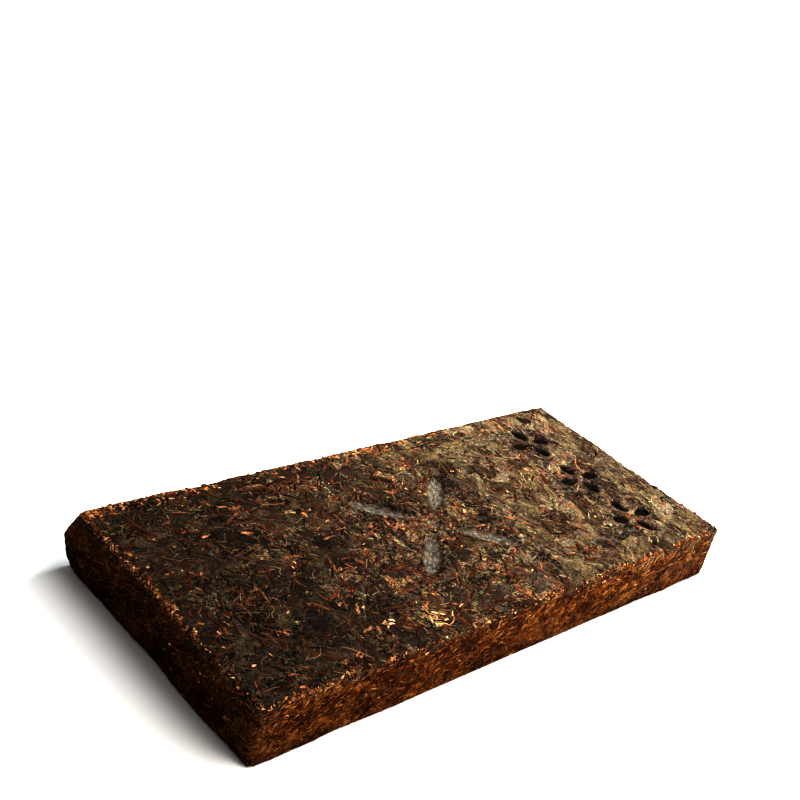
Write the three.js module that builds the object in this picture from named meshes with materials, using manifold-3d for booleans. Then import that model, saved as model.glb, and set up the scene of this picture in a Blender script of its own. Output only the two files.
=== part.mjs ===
// A pressed brick of dark tea: one solid slab of steamed leaf and stalk.
// Its faces are pressed flat, its upper arris is crumbly, and a petal rosette and a row of
// small florets are sunk into the top. Stalks, leaf flakes and crags stand out as low relief.
// Millimetres, +Z up, +X along the slab; the origin is the bottom centre, where the slab rests.
import * as THREE from "three";
import { mergeVertices } from "three/addons/utils/BufferGeometryUtils.js";
import Module from "manifold-3d";

// Driving dimensions of the slab
const LENGTH = 345;
const WIDTH = 152;
const HEIGHT = 33.4;
const CORNER_RADIUS = 5;
const TOP_ARRIS = 1.5;
const BOTTOM_ARRIS = 1.4;

// Grid of the slab's faces: fine lines near each edge, then an even step
const BORDER_LINES = [0, 0.6, TOP_ARRIS, 3.2, CORNER_RADIUS];
const FACE_STEP = 9;
const HEIGHT_LINES = [0, 0.5, 1.4, 10, 19.5, 28, HEIGHT - TOP_ARRIS, HEIGHT - 0.6, HEIGHT];

// Unevenness left by the press
const TOP_SWELL = 0.45;
const SIDE_SWELL = 0.7;
const SWELL_SPAN = 21;
const CRAG_DEPTH = 1.3;
const CRAG_SPAN = 7;

// The upright corner at -X and +Y has swelled out of the mould at half height
const SWOLLEN_CORNER = 7;
const SWOLLEN_SPAN = 17;

// Petal rosette sunk into the middle of the top
const PETALS = 4;
const ROSETTE_PETAL = { length: 42, width: 13, depth: 5.2, start: 8, sides: 12 };
const EYE_RADIUS = 5;
const EYE_DEPTH = 2.6;

// Row of small florets near one short end
const FLORETS = 3;
const FLORET_SPACING = 42;
const FLORET_END_GAP = 46;
const FLORET_PETAL = { length: 14, width: 9, depth: 6.5, start: 2.5, sides: 10 };

// Stalks and leaf flakes that show in the faces
const TOP_STALKS = 34;
const SIDE_STALKS = 22;
const TOP_FLAKES = 30;
const EDGE_CRAGS = 34;
const STALK_LENGTH = [10, 30];
const STALK_WIDTH = [1.4, 2.4];
const STALK_PROUD = 0.45;
const STALK_SAG = 0.05;
const FLAKE_LENGTH = [13, 26];
const FLAKE_WIDTH = [5, 9];
const FLAKE_PROUD = 0.4;
const CRAG_SIZE = [2.2, 4.6];
const CRAG_SUNK = 1.5;
const FACE_MARGIN = 12;

const LEAF_COLOUR = 0x2a2118;
const LEAF_ROUGHNESS = 0.72;

// The steps of a two-dimensional golden-ratio sequence, which spreads points evenly
const EVEN_STEP_U = 0.7548776662466927;
const EVEN_STEP_V = 0.5698402909980532;
const GOLDEN_ANGLE = Math.PI * (3 - Math.sqrt(5));

const fraction = (value) => value - Math.floor(value);
const lerp = THREE.MathUtils.lerp;
const between = (range, share) => lerp(range[0], range[1], share);

const wasm = await Module();
wasm.setup();

/** A closed three.js geometry as a solid that can be joined and cut. */
function solidOf(geometry) {
  const bare = geometry.index ? geometry.toNonIndexed() : geometry.clone();
  for (const name of Object.keys(bare.attributes)) {
    if (name !== "position") bare.deleteAttribute(name);
  }
  const merged = mergeVertices(bare, 1e-4);
  return new wasm.Manifold(
    new wasm.Mesh({
      numProp: 3,
      vertProperties: merged.attributes.position.array,
      triVerts: new Uint32Array(merged.index.array),
    }),
  );
}

/** A solid's faces as a three.js geometry. */
function geometryOf(solid) {
  const { numProp, vertProperties, triVerts } = solid.getMesh();
  const positions = new Float32Array((vertProperties.length / numProp) * 3);
  for (let i = 0; i < positions.length / 3; i++) {
    positions.set(vertProperties.subarray(i * numProp, i * numProp + 3), i * 3);
  }
  const geometry = new THREE.BufferGeometry();
  geometry.setAttribute("position", new THREE.BufferAttribute(positions, 3));
  geometry.setIndex(new THREE.BufferAttribute(triVerts, 1));
  geometry.computeVertexNormals();
  return geometry;
}

/** Moves every vertex of a geometry through a function that edits a Vector3. */
function reshape(geometry, edit) {
  const position = geometry.attributes.position;
  const point = new THREE.Vector3();
  for (let i = 0; i < position.count; i++) {
    point.fromBufferAttribute(position, i);
    edit(point);
    position.setXYZ(i, point.x, point.y, point.z);
  }
  return geometry;
}

/** A fixed number from 0 to 1 for a cell of a lattice. */
function cellValue(i, j) {
  return fraction(Math.sin(i * 127.1 + j * 311.7) * 43758.5453);
}

/** Smooth bumps from -1 to 1 over a plane, one cell wide. */
function bumps(u, v) {
  const i = Math.floor(u);
  const j = Math.floor(v);
  const a = THREE.MathUtils.smoothstep(u - i, 0, 1);
  const b = THREE.MathUtils.smoothstep(v - j, 0, 1);
  const low = lerp(cellValue(i, j), cellValue(i + 1, j), a);
  const high = lerp(cellValue(i, j + 1), cellValue(i + 1, j + 1), a);
  return 2 * lerp(low, high, b) - 1;
}

/** Coordinates of the grid lines across a face, close together near its two edges. */
function gridLines(half) {
  const inner = half - BORDER_LINES.at(-1);
  const steps = Math.round((2 * inner) / FACE_STEP);
  const lines = BORDER_LINES.map((gap) => gap - half);
  for (let k = 1; k < steps; k++) lines.push(-inner + (2 * inner * k) / steps);
  return lines.concat(BORDER_LINES.map((gap) => half - gap).reverse());
}

/** Turns a square corner into a round one: a and b are how far a point is into the corner. */
function roundOff(a, b) {
  const scale = Math.max(a, b) / Math.hypot(a, b);
  return [a * scale, b * scale];
}

/** How far a point lies inside the slab's outline, and the outward direction there. */
function outlineAt(x, y) {
  const intoX = Math.abs(x) - (LENGTH / 2 - CORNER_RADIUS);
  const intoY = Math.abs(y) - (WIDTH / 2 - CORNER_RADIUS);
  const outward = new THREE.Vector2();
  if (intoX > 0 && intoY > 0) {
    outward.set(intoX * Math.sign(x), intoY * Math.sign(y));
    const inset = CORNER_RADIUS - outward.length();
    return { inset, outward: outward.normalize() };
  }
  if (intoX > intoY) outward.set(Math.sign(x), 0);
  else outward.set(0, Math.sign(y));
  return { inset: CORNER_RADIUS - Math.max(intoX, intoY), outward };
}

/** Rounds the slab's upright corners in plan. */
function roundPlan(point) {
  const flatX = LENGTH / 2 - CORNER_RADIUS;
  const flatY = WIDTH / 2 - CORNER_RADIUS;
  const intoX = Math.abs(point.x) - flatX;
  const intoY = Math.abs(point.y) - flatY;
  if (intoX <= 0 || intoY <= 0) return;
  const [x, y] = roundOff(intoX, intoY);
  point.x = Math.sign(point.x) * (flatX + x);
  point.y = Math.sign(point.y) * (flatY + y);
}

/** Rounds one of the slab's two arrises; edgeHeight is the height of its face. */
function roundArris(point, edgeHeight, radius) {
  const { inset, outward } = outlineAt(point.x, point.y);
  const out = radius - inset;
  const near = radius - Math.abs(edgeHeight - point.z);
  if (out <= 0 || near <= 0) return;
  const [newOut, newNear] = roundOff(out, near);
  point.x += outward.x * (newOut - out);
  point.y += outward.y * (newOut - out);
  point.z = edgeHeight + Math.sign(point.z - edgeHeight || HEIGHT / 2 - edgeHeight) * (radius - newNear);
}

/** Swells one upright corner outwards, most at half height and not at all at the two faces. */
function swellCorner(point) {
  const away = Math.hypot(point.x + LENGTH / 2, point.y - WIDTH / 2);
  const rise = Math.sin(Math.PI * THREE.MathUtils.clamp(point.z / HEIGHT, 0, 1));
  const push = SWOLLEN_CORNER * rise * Math.exp(-((away / SWOLLEN_SPAN) ** 2));
  point.x -= Math.SQRT1_2 * push;
  point.y += Math.SQRT1_2 * push;
}

/** Adds the press's unevenness and the crumbled upper arris; the resting face stays flat. */
function roughen(point) {
  const { inset, outward } = outlineAt(point.x, point.y);
  const along = point.x * Math.abs(outward.y) + point.y * Math.abs(outward.x);
  const side = outward.x + 2 * outward.y;
  const onTop = THREE.MathUtils.smoothstep(point.z, HEIGHT - 2 * TOP_ARRIS, HEIGHT);
  const onSide = 1 - THREE.MathUtils.smoothstep(inset, 0, 2 * TOP_ARRIS);
  const crag = onTop * onSide * Math.max(0, bumps(along / CRAG_SPAN + 40 * side, 9.5));
  const lift = onTop * TOP_SWELL * bumps(point.x / SWELL_SPAN, point.y / SWELL_SPAN);
  const push = onSide * SIDE_SWELL * bumps(along / SWELL_SPAN + 30 * side, point.z / SWELL_SPAN);
  point.x += outward.x * (push - CRAG_DEPTH * crag);
  point.y += outward.y * (push - CRAG_DEPTH * crag);
  point.z += lift - 0.6 * CRAG_DEPTH * crag;
}

/** The flat resting face: a loop of edge points closed by triangles round an inner rectangle. */
function restingFace(loop) {
  const halfX = LENGTH * 0.35;
  const halfY = WIDTH * 0.3;
  const inner = [
    new THREE.Vector2(-halfX, -halfY),
    new THREE.Vector2(-halfX, halfY),
    new THREE.Vector2(halfX, halfY),
    new THREE.Vector2(halfX, -halfY),
  ];
  const points = [...loop, ...inner];
  const ring = THREE.ShapeUtils.triangulateShape(loop, [inner]);
  const first = loop.length;
  const pad = [
    [first, first + 3, first + 1],
    [first + 3, first + 2, first + 1],
  ];
  const positions = [];
  for (const [a, b, c] of [...ring, ...pad]) {
    for (const corner of [a, c, b]) positions.push(points[corner].x, points[corner].y, 0);
  }
  return positions;
}

/** The slab: a gridded box with round corners, round arrises and pressed unevenness. */
function slab() {
  const linesX = gridLines(LENGTH / 2);
  const linesY = gridLines(WIDTH / 2);
  const [nx, ny, nz] = [linesX.length - 1, linesY.length - 1, HEIGHT_LINES.length - 1];
  const box = new THREE.BoxGeometry(2, 2, 2, nx, ny, nz);
  const line = (value, count) => Math.round(((value + 1) / 2) * count);
  reshape(box, (point) => {
    point.set(linesX[line(point.x, nx)], linesY[line(point.y, ny)], HEIGHT_LINES[line(point.z, nz)]);
    const resting = point.z === 0;
    roundPlan(point);
    roundArris(point, HEIGHT, TOP_ARRIS);
    roundArris(point, 0, BOTTOM_ARRIS);
    roughen(point);
    swellCorner(point);
    if (resting) point.z = 0;
  });

  const bottomGroup = box.groups.at(-1);
  const index = Array.from(box.index.array).slice(0, bottomGroup.start);
  const position = box.attributes.position;
  const positions = [];
  const edge = new Map();
  for (const i of index) {
    const [x, y, z] = [position.getX(i), position.getY(i), position.getZ(i)];
    positions.push(x, y, z);
    if (z === 0) edge.set(`${x.toFixed(4)},${y.toFixed(4)}`, new THREE.Vector2(x, y));
  }
  const loop = [...edge.values()].sort((a, b) => Math.atan2(a.y, a.x) - Math.atan2(b.y, b.x));
  positions.push(...restingFace(loop));
  const geometry = new THREE.BufferGeometry();
  geometry.setAttribute("position", new THREE.Float32BufferAttribute(positions, 3));
  return geometry;
}

/** A boat-shaped cutter for one petal: pointed and shallow at its start, round and deep at its tip. */
function petalCutter({ length, width, depth, start, sides }, turn, centre) {
  const boat = new THREE.SphereGeometry(1, sides, sides - 2);
  boat.rotateZ(Math.PI / 2);
  boat.rotateX(Math.PI / 2);
  reshape(boat, (point) => {
    const share = (point.x + 1) / 2;
    point.y *= (width / 2) * (0.45 + 0.62 * Math.sqrt(share));
    point.z *= depth * (0.4 + 0.6 * share);
    point.x = start + length * share;
  });
  boat.rotateZ(turn);
  boat.translate(centre.x, centre.y, HEIGHT);
  return solidOf(boat);
}

/** A ring of petal cutters round a centre. */
function petalRing(petal, turn, centre) {
  const cutters = [];
  for (let k = 0; k < PETALS; k++) {
    cutters.push(petalCutter(petal, turn + (2 * Math.PI * k) / PETALS, centre));
  }
  return cutters;
}

/** Everything that is pressed into the top face. */
function pressedMarks() {
  const middle = new THREE.Vector2(0, 0);
  const eye = new THREE.SphereGeometry(1, 12, 8);
  eye.scale(EYE_RADIUS, EYE_RADIUS, EYE_DEPTH);
  eye.translate(middle.x, middle.y, HEIGHT);
  const marks = petalRing(ROSETTE_PETAL, Math.PI / 4, middle);
  marks.push(solidOf(eye));
  for (let k = 0; k < FLORETS; k++) {
    const centre = new THREE.Vector2(LENGTH / 2 - FLORET_END_GAP, (k - (FLORETS - 1) / 2) * FLORET_SPACING);
    marks.push(...petalRing(FLORET_PETAL, 0, centre));
  }
  return marks;
}

/** Whether a spot on the top would cover a pressed mark. */
function coversMark(x, y, reach) {
  const rosette = ROSETTE_PETAL.start + ROSETTE_PETAL.length;
  if (Math.hypot(x, y) < rosette + reach * 0.4) return true;
  const floret = FLORET_PETAL.start + FLORET_PETAL.length + reach * 0.5;
  const fromRow = Math.abs(x - (LENGTH / 2 - FLORET_END_GAP));
  return fromRow < floret && Math.abs(y) < FLORET_SPACING + floret;
}

/** Bends a piece that lies along x into an arc in plan. */
function bendPlan(geometry, length, sag) {
  return reshape(geometry, (point) => {
    const share = point.x / (length / 2);
    point.y += sag * (1 - share * share);
  });
}

/** A stalk along x: a thin tapered stick, flattened by the press, its back STALK_PROUD above z = 0. */
function stalk(k) {
  const length = between(STALK_LENGTH, fraction(k * EVEN_STEP_V + 0.21));
  const width = between(STALK_WIDTH, fraction(k * EVEN_STEP_U + 0.37));
  const stick = new THREE.CylinderGeometry(width * 0.32, width * 0.5, length, 6, 3);
  stick.rotateZ(-Math.PI / 2);
  stick.scale(1, 1, 0.7);
  stick.translate(0, 0, STALK_PROUD - width * 0.35);
  bendPlan(stick, length, length * STALK_SAG * Math.sin(k * 2.4));
  return { stick, length };
}

/** A leaf flake along x: a low lens with pointed ends and one wavy side. */
function leafFlake(k) {
  const length = between(FLAKE_LENGTH, fraction(k * EVEN_STEP_U + 0.11));
  const width = between(FLAKE_WIDTH, fraction(k * EVEN_STEP_V + 0.63));
  const lens = new THREE.SphereGeometry(1, 8, 3);
  lens.rotateX(Math.PI / 2);
  reshape(lens, (point) => {
    const wave = 1 + 0.22 * Math.sin(3 * point.x + k);
    point.set((point.x * length) / 2, (point.y * wave * width) / 2, point.z * FLAKE_PROUD);
  });
  bendPlan(lens, length, length * 0.1 * Math.cos(k * 1.7));
  return { lens, length };
}

/** The stalks and flakes that lie in the top face, clear of the pressed marks. */
function topRelief() {
  const spread = { x: LENGTH - 2 * FACE_MARGIN, y: WIDTH - 2 * FACE_MARGIN };
  const pieces = [];
  const lay = (geometry, length, k) => {
    const x = (fraction(0.5 + EVEN_STEP_U * k) - 0.5) * spread.x;
    const y = (fraction(0.5 + EVEN_STEP_V * k) - 0.5) * spread.y;
    const turn = GOLDEN_ANGLE * k;
    const reachX = (Math.abs(Math.cos(turn)) * length) / 2;
    const reachY = (Math.abs(Math.sin(turn)) * length) / 2;
    const limitX = LENGTH / 2 - reachX - TOP_ARRIS;
    const limitY = WIDTH / 2 - reachY - TOP_ARRIS;
    if (coversMark(x, y, length)) return;
    geometry.rotateZ(turn);
    geometry.translate(
      THREE.MathUtils.clamp(x, -limitX, limitX),
      THREE.MathUtils.clamp(y, -limitY, limitY),
      HEIGHT,
    );
    pieces.push(solidOf(geometry));
  };
  for (let k = 1; k <= TOP_STALKS; k++) {
    const { stick, length } = stalk(k);
    lay(stick, length, k);
  }
  for (let k = 1; k <= TOP_FLAKES; k++) {
    const { lens, length } = leafFlake(k);
    lay(lens, length, k + TOP_STALKS);
  }
  return pieces;
}

/** A point of the slab's outline and its outward angle, at a share of the way round. */
function outlinePoint(share) {
  const flatX = LENGTH - 2 * CORNER_RADIUS;
  const flatY = WIDTH - 2 * CORNER_RADIUS;
  const walk = share * 2 * (flatX + flatY);
  if (walk < flatX) return { x: walk - flatX / 2, y: -WIDTH / 2, angle: -Math.PI / 2 };
  if (walk < flatX + flatY) return { x: LENGTH / 2, y: walk - flatX - flatY / 2, angle: 0 };
  if (walk < 2 * flatX + flatY) return { x: 1.5 * flatX + flatY - walk, y: WIDTH / 2, angle: Math.PI / 2 };
  return { x: -LENGTH / 2, y: 2 * flatX + 1.5 * flatY - walk, angle: Math.PI };
}

/** The stalks that show in the four sides, lying nearly level. */
function sideRelief() {
  const pieces = [];
  for (let k = 1; k <= SIDE_STALKS; k++) {
    const { stick, length } = stalk(k + TOP_STALKS);
    const { x, y, angle } = outlinePoint(fraction(0.5 + EVEN_STEP_U * k));
    const height = lerp(0.28, 0.72, fraction(0.5 + EVEN_STEP_V * k)) * HEIGHT;
    const onLongSide = Math.abs(Math.sin(angle)) > 0.5;
    const limit = (onLongSide ? LENGTH : WIDTH) / 2 - CORNER_RADIUS - length / 2;
    const along = THREE.MathUtils.clamp(onLongSide ? x : y, -limit, limit);
    stick.rotateZ(0.3 * Math.sin(k * 3.1));
    stick.rotateX(Math.PI / 2);
    stick.rotateZ(angle + Math.PI / 2);
    stick.translate(onLongSide ? along : x, onLongSide ? y : along, height);
    pieces.push(solidOf(stick));
  }
  return pieces;
}

/** The small crags that break the line of the upper arris. */
function edgeCrags() {
  const pieces = [];
  for (let k = 0; k < EDGE_CRAGS; k++) {
    const { x, y, angle } = outlinePoint((k + 0.6 * cellValue(k, 3)) / EDGE_CRAGS);
    const size = between(CRAG_SIZE, cellValue(k, 7));
    const crag = new THREE.TetrahedronGeometry(size * 0.62, 0);
    crag.rotateX(6 * cellValue(k, 11));
    crag.rotateY(6 * cellValue(k, 13));
    crag.scale(1.5, 1, 0.7);
    crag.rotateZ(angle + Math.PI / 2);
    const sunk = CRAG_SUNK;
    crag.translate(x - Math.cos(angle) * sunk, y - Math.sin(angle) * sunk, HEIGHT - sunk);
    pieces.push(solidOf(crag));
  }
  return pieces;
}

/** The whole brick as one solid, centred over its resting face. */
function brick() {
  let solid = solidOf(slab());
  for (const mark of pressedMarks()) solid = solid.subtract(mark);
  for (const piece of [...topRelief(), ...sideRelief(), ...edgeCrags()]) solid = solid.add(piece);
  const geometry = geometryOf(solid);
  geometry.computeBoundingBox();
  const centre = geometry.boundingBox.getCenter(new THREE.Vector3());
  geometry.translate(-centre.x, -centre.y, -geometry.boundingBox.min.z);
  return geometry;
}

const leaf = new THREE.MeshStandardMaterial({
  color: LEAF_COLOUR,
  roughness: LEAF_ROUGHNESS,
  metalness: 0,
});

const part = new THREE.Group();
const brickMesh = new THREE.Mesh(brick(), leaf);
brickMesh.name = "tea_brick";
part.add(brickMesh);

export default part;
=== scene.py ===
"""Looks of a pressed brick of dark tea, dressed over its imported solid. Metres, +Z up.

The solid's own form becomes the core. Leaf shreds, leaves, stalks, fibres and crumbs lie over it
at true size, each kind joined into one mesh, and follow the core's surface wherever they lie.
"""
import logging
import math
from dataclasses import dataclass, field
from enum import Enum
from typing import Callable

import bpy
import numpy as np
from mathutils import Color, Matrix, Vector
from mathutils.bvhtree import BVHTree


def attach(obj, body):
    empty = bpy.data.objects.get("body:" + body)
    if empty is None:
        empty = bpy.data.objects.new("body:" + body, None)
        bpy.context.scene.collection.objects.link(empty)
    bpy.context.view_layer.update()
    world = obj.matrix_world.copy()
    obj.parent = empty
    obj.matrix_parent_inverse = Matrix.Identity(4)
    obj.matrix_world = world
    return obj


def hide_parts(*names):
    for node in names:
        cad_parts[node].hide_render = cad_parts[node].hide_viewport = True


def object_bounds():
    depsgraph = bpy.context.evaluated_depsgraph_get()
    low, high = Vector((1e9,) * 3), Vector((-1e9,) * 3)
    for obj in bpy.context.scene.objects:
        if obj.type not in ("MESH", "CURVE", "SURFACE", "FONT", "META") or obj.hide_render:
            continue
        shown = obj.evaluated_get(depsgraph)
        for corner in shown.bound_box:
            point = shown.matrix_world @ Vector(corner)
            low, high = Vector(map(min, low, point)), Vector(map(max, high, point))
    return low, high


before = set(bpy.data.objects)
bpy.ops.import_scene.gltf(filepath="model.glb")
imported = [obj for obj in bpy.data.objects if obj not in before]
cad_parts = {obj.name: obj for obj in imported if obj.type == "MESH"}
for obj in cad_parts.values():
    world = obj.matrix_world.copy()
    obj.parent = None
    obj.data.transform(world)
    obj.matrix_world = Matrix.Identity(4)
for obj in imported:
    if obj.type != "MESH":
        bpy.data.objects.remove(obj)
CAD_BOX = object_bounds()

Array = np.ndarray
Chance = np.random.Generator
Piece = bpy.types.Object
Socket = bpy.types.NodeSocket
Range = tuple[float, float]
Triple = tuple[float, float, float]
Paint = tuple[float, float, float, float]
Stops = tuple[tuple[float, str], ...]
Test = Callable[[Vector], bool]

LOG = logging.getLogger("tea_brick")
SOLID = "tea_brick"
BODY = "root"

# The name of the skin map through which a laid piece's colours are drawn
SKIN_MAP = "OFBake"
# A skin map holds this many skins side by side, from the darkest to the palest
SKINS = 32

# The steps of the golden-ratio sequence that spreads the largest pieces evenly, as in the solid
EVEN_STEP_U = 0.7548776662466927
EVEN_STEP_V = 0.5698402909980532
GOLDEN_ANGLE = math.pi * (3.0 - math.sqrt(5.0))
# How far an arc turns over its length for each share of it that it sags
ARC_TURN = -8.0

# How far above the core a piece may lie on other pieces
COVER_REACH = 0.002
QUARTER = math.pi / 2
UP: Triple = (0.0, 0.0, 1.0)
UNIT: Range = (0.0, 1.0)
TINY = 1e-12


def paint(code: str) -> Paint:
    """Turns a colour code into the linear colour that a shader takes.

    Args:
        code: Six hexadecimal digits, red, green and blue, as on a screen.

    Returns:
        Red, green, blue and alpha, from 0 to 1.
    """
    screen = Color([int(code[k:k + 2], 16) / 255.0 for k in (0, 2, 4)])
    return (*screen.from_srgb_to_scene_linear(), 1.0)


def fraction(value: float) -> float:
    """The part of a number after its point."""
    return value - np.floor(value)


def between(limits: Range, share: float | Array) -> float | Array:
    """A value at a share of the way between two limits."""
    return limits[0] + (limits[1] - limits[0]) * share


def drawn_between(rng: Chance, limits: Range, count: int) -> Array:
    """Chance values between two limits."""
    return between(limits, rng.random(count))


def smooth_step(low: float, high: float, value: Array) -> Array:
    """Rises from 0 at low to 1 at high without a corner."""
    share = np.clip((value - low) / (high - low), 0.0, 1.0)
    return share * share * (3.0 - 2.0 * share)


def unit(vectors: Array) -> Array:
    """Rows of vectors, each made one long."""
    return vectors / np.maximum(np.linalg.norm(vectors, axis=-1, keepdims=True), TINY)


def column(values: Array) -> Array:
    """One number for each row, ready to multiply rows of vectors."""
    return np.asarray(values)[:, None]


def flattened(headings: Array, ups: Array) -> Array:
    """Headings turned to lie in the surface whose outward directions are given."""
    return unit(headings - column((headings * ups).sum(axis=1)) * ups)


def level(angles: Array) -> Array:
    """Level headings at these angles from +X."""
    return np.stack([np.cos(angles), np.sin(angles), np.zeros(len(angles))], axis=1)


def read(rows: bpy.types.bpy_prop_collection, name: str, width: int = 1, kind: type = np.float32) -> Array:
    """Reads one property of every element of a mesh.

    Args:
        rows: The elements.
        name: The property.
        width: How many numbers it has.
        kind: Their type.

    Returns:
        A number for each element, or a row of numbers.
    """
    values = np.empty(len(rows) * width, kind)
    rows.foreach_get(name, values)
    return values.reshape(-1, width) if width > 1 else values


class Zone(Enum):
    """Where on the brick a piece lies."""

    TOP = "top"
    SIDE = "side"
    UNDER = "under"


@dataclass(frozen=True)
class Slab:
    """Sizes of the pressed slab, as the solid has them, and where its middle lies in the frame."""

    length: float = 0.345
    width: float = 0.152
    height: float = 0.0334
    corner_radius: float = 0.005
    arris: float = 0.0015
    middle: Range = (0.00202, -0.00157)
    rosette_reach: float = 0.050
    rosette_clear: float = 0.4
    floret_reach: float = 0.0165
    floret_clear: float = 0.5
    floret_fade: Range = (0.9, 1.25)
    floret_spacing: float = 0.042
    floret_end_gap: float = 0.046

    def inset(self, points: Array) -> Array:
        """How far points lie inside the slab's outline in plan.

        Args:
            points: Rows of x, y, z in the frame.

        Returns:
            The distance inwards from the outline, for each row.
        """
        into_x = np.abs(points[:, 0] - self.middle[0]) - (self.length / 2 - self.corner_radius)
        into_y = np.abs(points[:, 1] - self.middle[1]) - (self.width / 2 - self.corner_radius)
        round_corner = np.hypot(into_x, into_y)
        reach = np.where((into_x > 0) & (into_y > 0), round_corner, np.maximum(into_x, into_y))
        return self.corner_radius - reach

    def from_arris(self, points: Array) -> tuple[Array, Array]:
        """How far points lie inwards of the upper arris, and how far below it."""
        depth = np.maximum(self.height - points[:, 2], 0.0)
        return np.maximum(self.inset(points), 0.0), depth

    def covers_mark(self, x: float, y: float, reach: float) -> bool:
        """Whether a piece would cover a pressed mark.

        Args:
            x: Where it lies along the slab, from the slab's middle.
            y: Where it lies across it.
            reach: How long it is.

        Returns:
            Whether it comes too near to the rosette or to a floret.
        """
        if math.hypot(x, y) < self.rosette_reach + self.rosette_clear * reach:
            return True
        floret = self.floret_reach + self.floret_clear * reach
        from_row = abs(x - (self.length / 2 - self.floret_end_gap))
        return from_row < floret and abs(y) < self.floret_spacing + floret

    def by_floret(self, points: Array) -> Array:
        """How near points lie to the middle of a floret in plan.

        Args:
            points: Rows of x, y, z in the frame.

        Returns:
            1 at a floret's middle, falling to 0 beyond its reach, for each row.
        """
        across = points[:, 1] - self.middle[1]
        along = points[:, 0] - self.middle[0] - (self.length / 2 - self.floret_end_gap)
        row = np.clip(np.round(across / self.floret_spacing), -1.0, 1.0) * self.floret_spacing
        low, high = (share * self.floret_reach for share in self.floret_fade)
        return 1.0 - smooth_step(low, high, np.hypot(along, across - row))


SLAB = Slab()


@dataclass(frozen=True)
class Speck:
    """One kind of speck in leaf: its hue, how much paler it is than the leaf, and its band of chance."""

    hue: str
    gain: float
    band: Range


# Rusty specks, then golden ones over them
SPECKS = (Speck("ffb48a", 1.5, (0.76, 0.79)), Speck("fff0c4", 2.2, (0.85, 0.88)))
# Dark gaps between the specks: their band of chance, how dark they are, and how pale the leaf off them is
GAP_BAND: Range = (0.1, 0.45)
GAP_DEPTH = 0.5
OFF_GAP = 1.2

# How leaf of any tone differs: some of it rusty, some greyer
HUES: Stops = ((0.0, "ffb484"), (0.28, "ffe2cc"), (0.6, "f8f4ee"), (1.0, "e7f4d8"))
EVEN_HUES: Stops = ((0.0, "fff4ea"), (1.0, "f6ffff"))
PALE_HUES: Stops = ((0.0, "fadfd2"), (0.25, "f5ecf2"), (0.6, "fbf6f0"), (1.0, "f6f4e2"))

# Where along x the sides turn paler towards the right end, partly painted light, and where the painted shade
# on the left end face gives way
RIGHT_END: Range = (0.03, 0.16)
LEFT_END: Range = (-0.171, -0.158)
# Between which places along x laid pieces turn from the left end's darker tint to the right end's paler one,
# partly painted light and shade
WHOLE_LENGTH: Range = (-0.14, 0.14)

# How fine noise is drawn
PLAIN = 1.0
SOFT = 2.0
FINE = 3.0
FINEST = 4.0
# The middle of noise, and the band about it in which most noise lies
NOISE_MIDDLE = 0.5
MOST_NOISE: Range = (0.3, 0.7)


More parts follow.
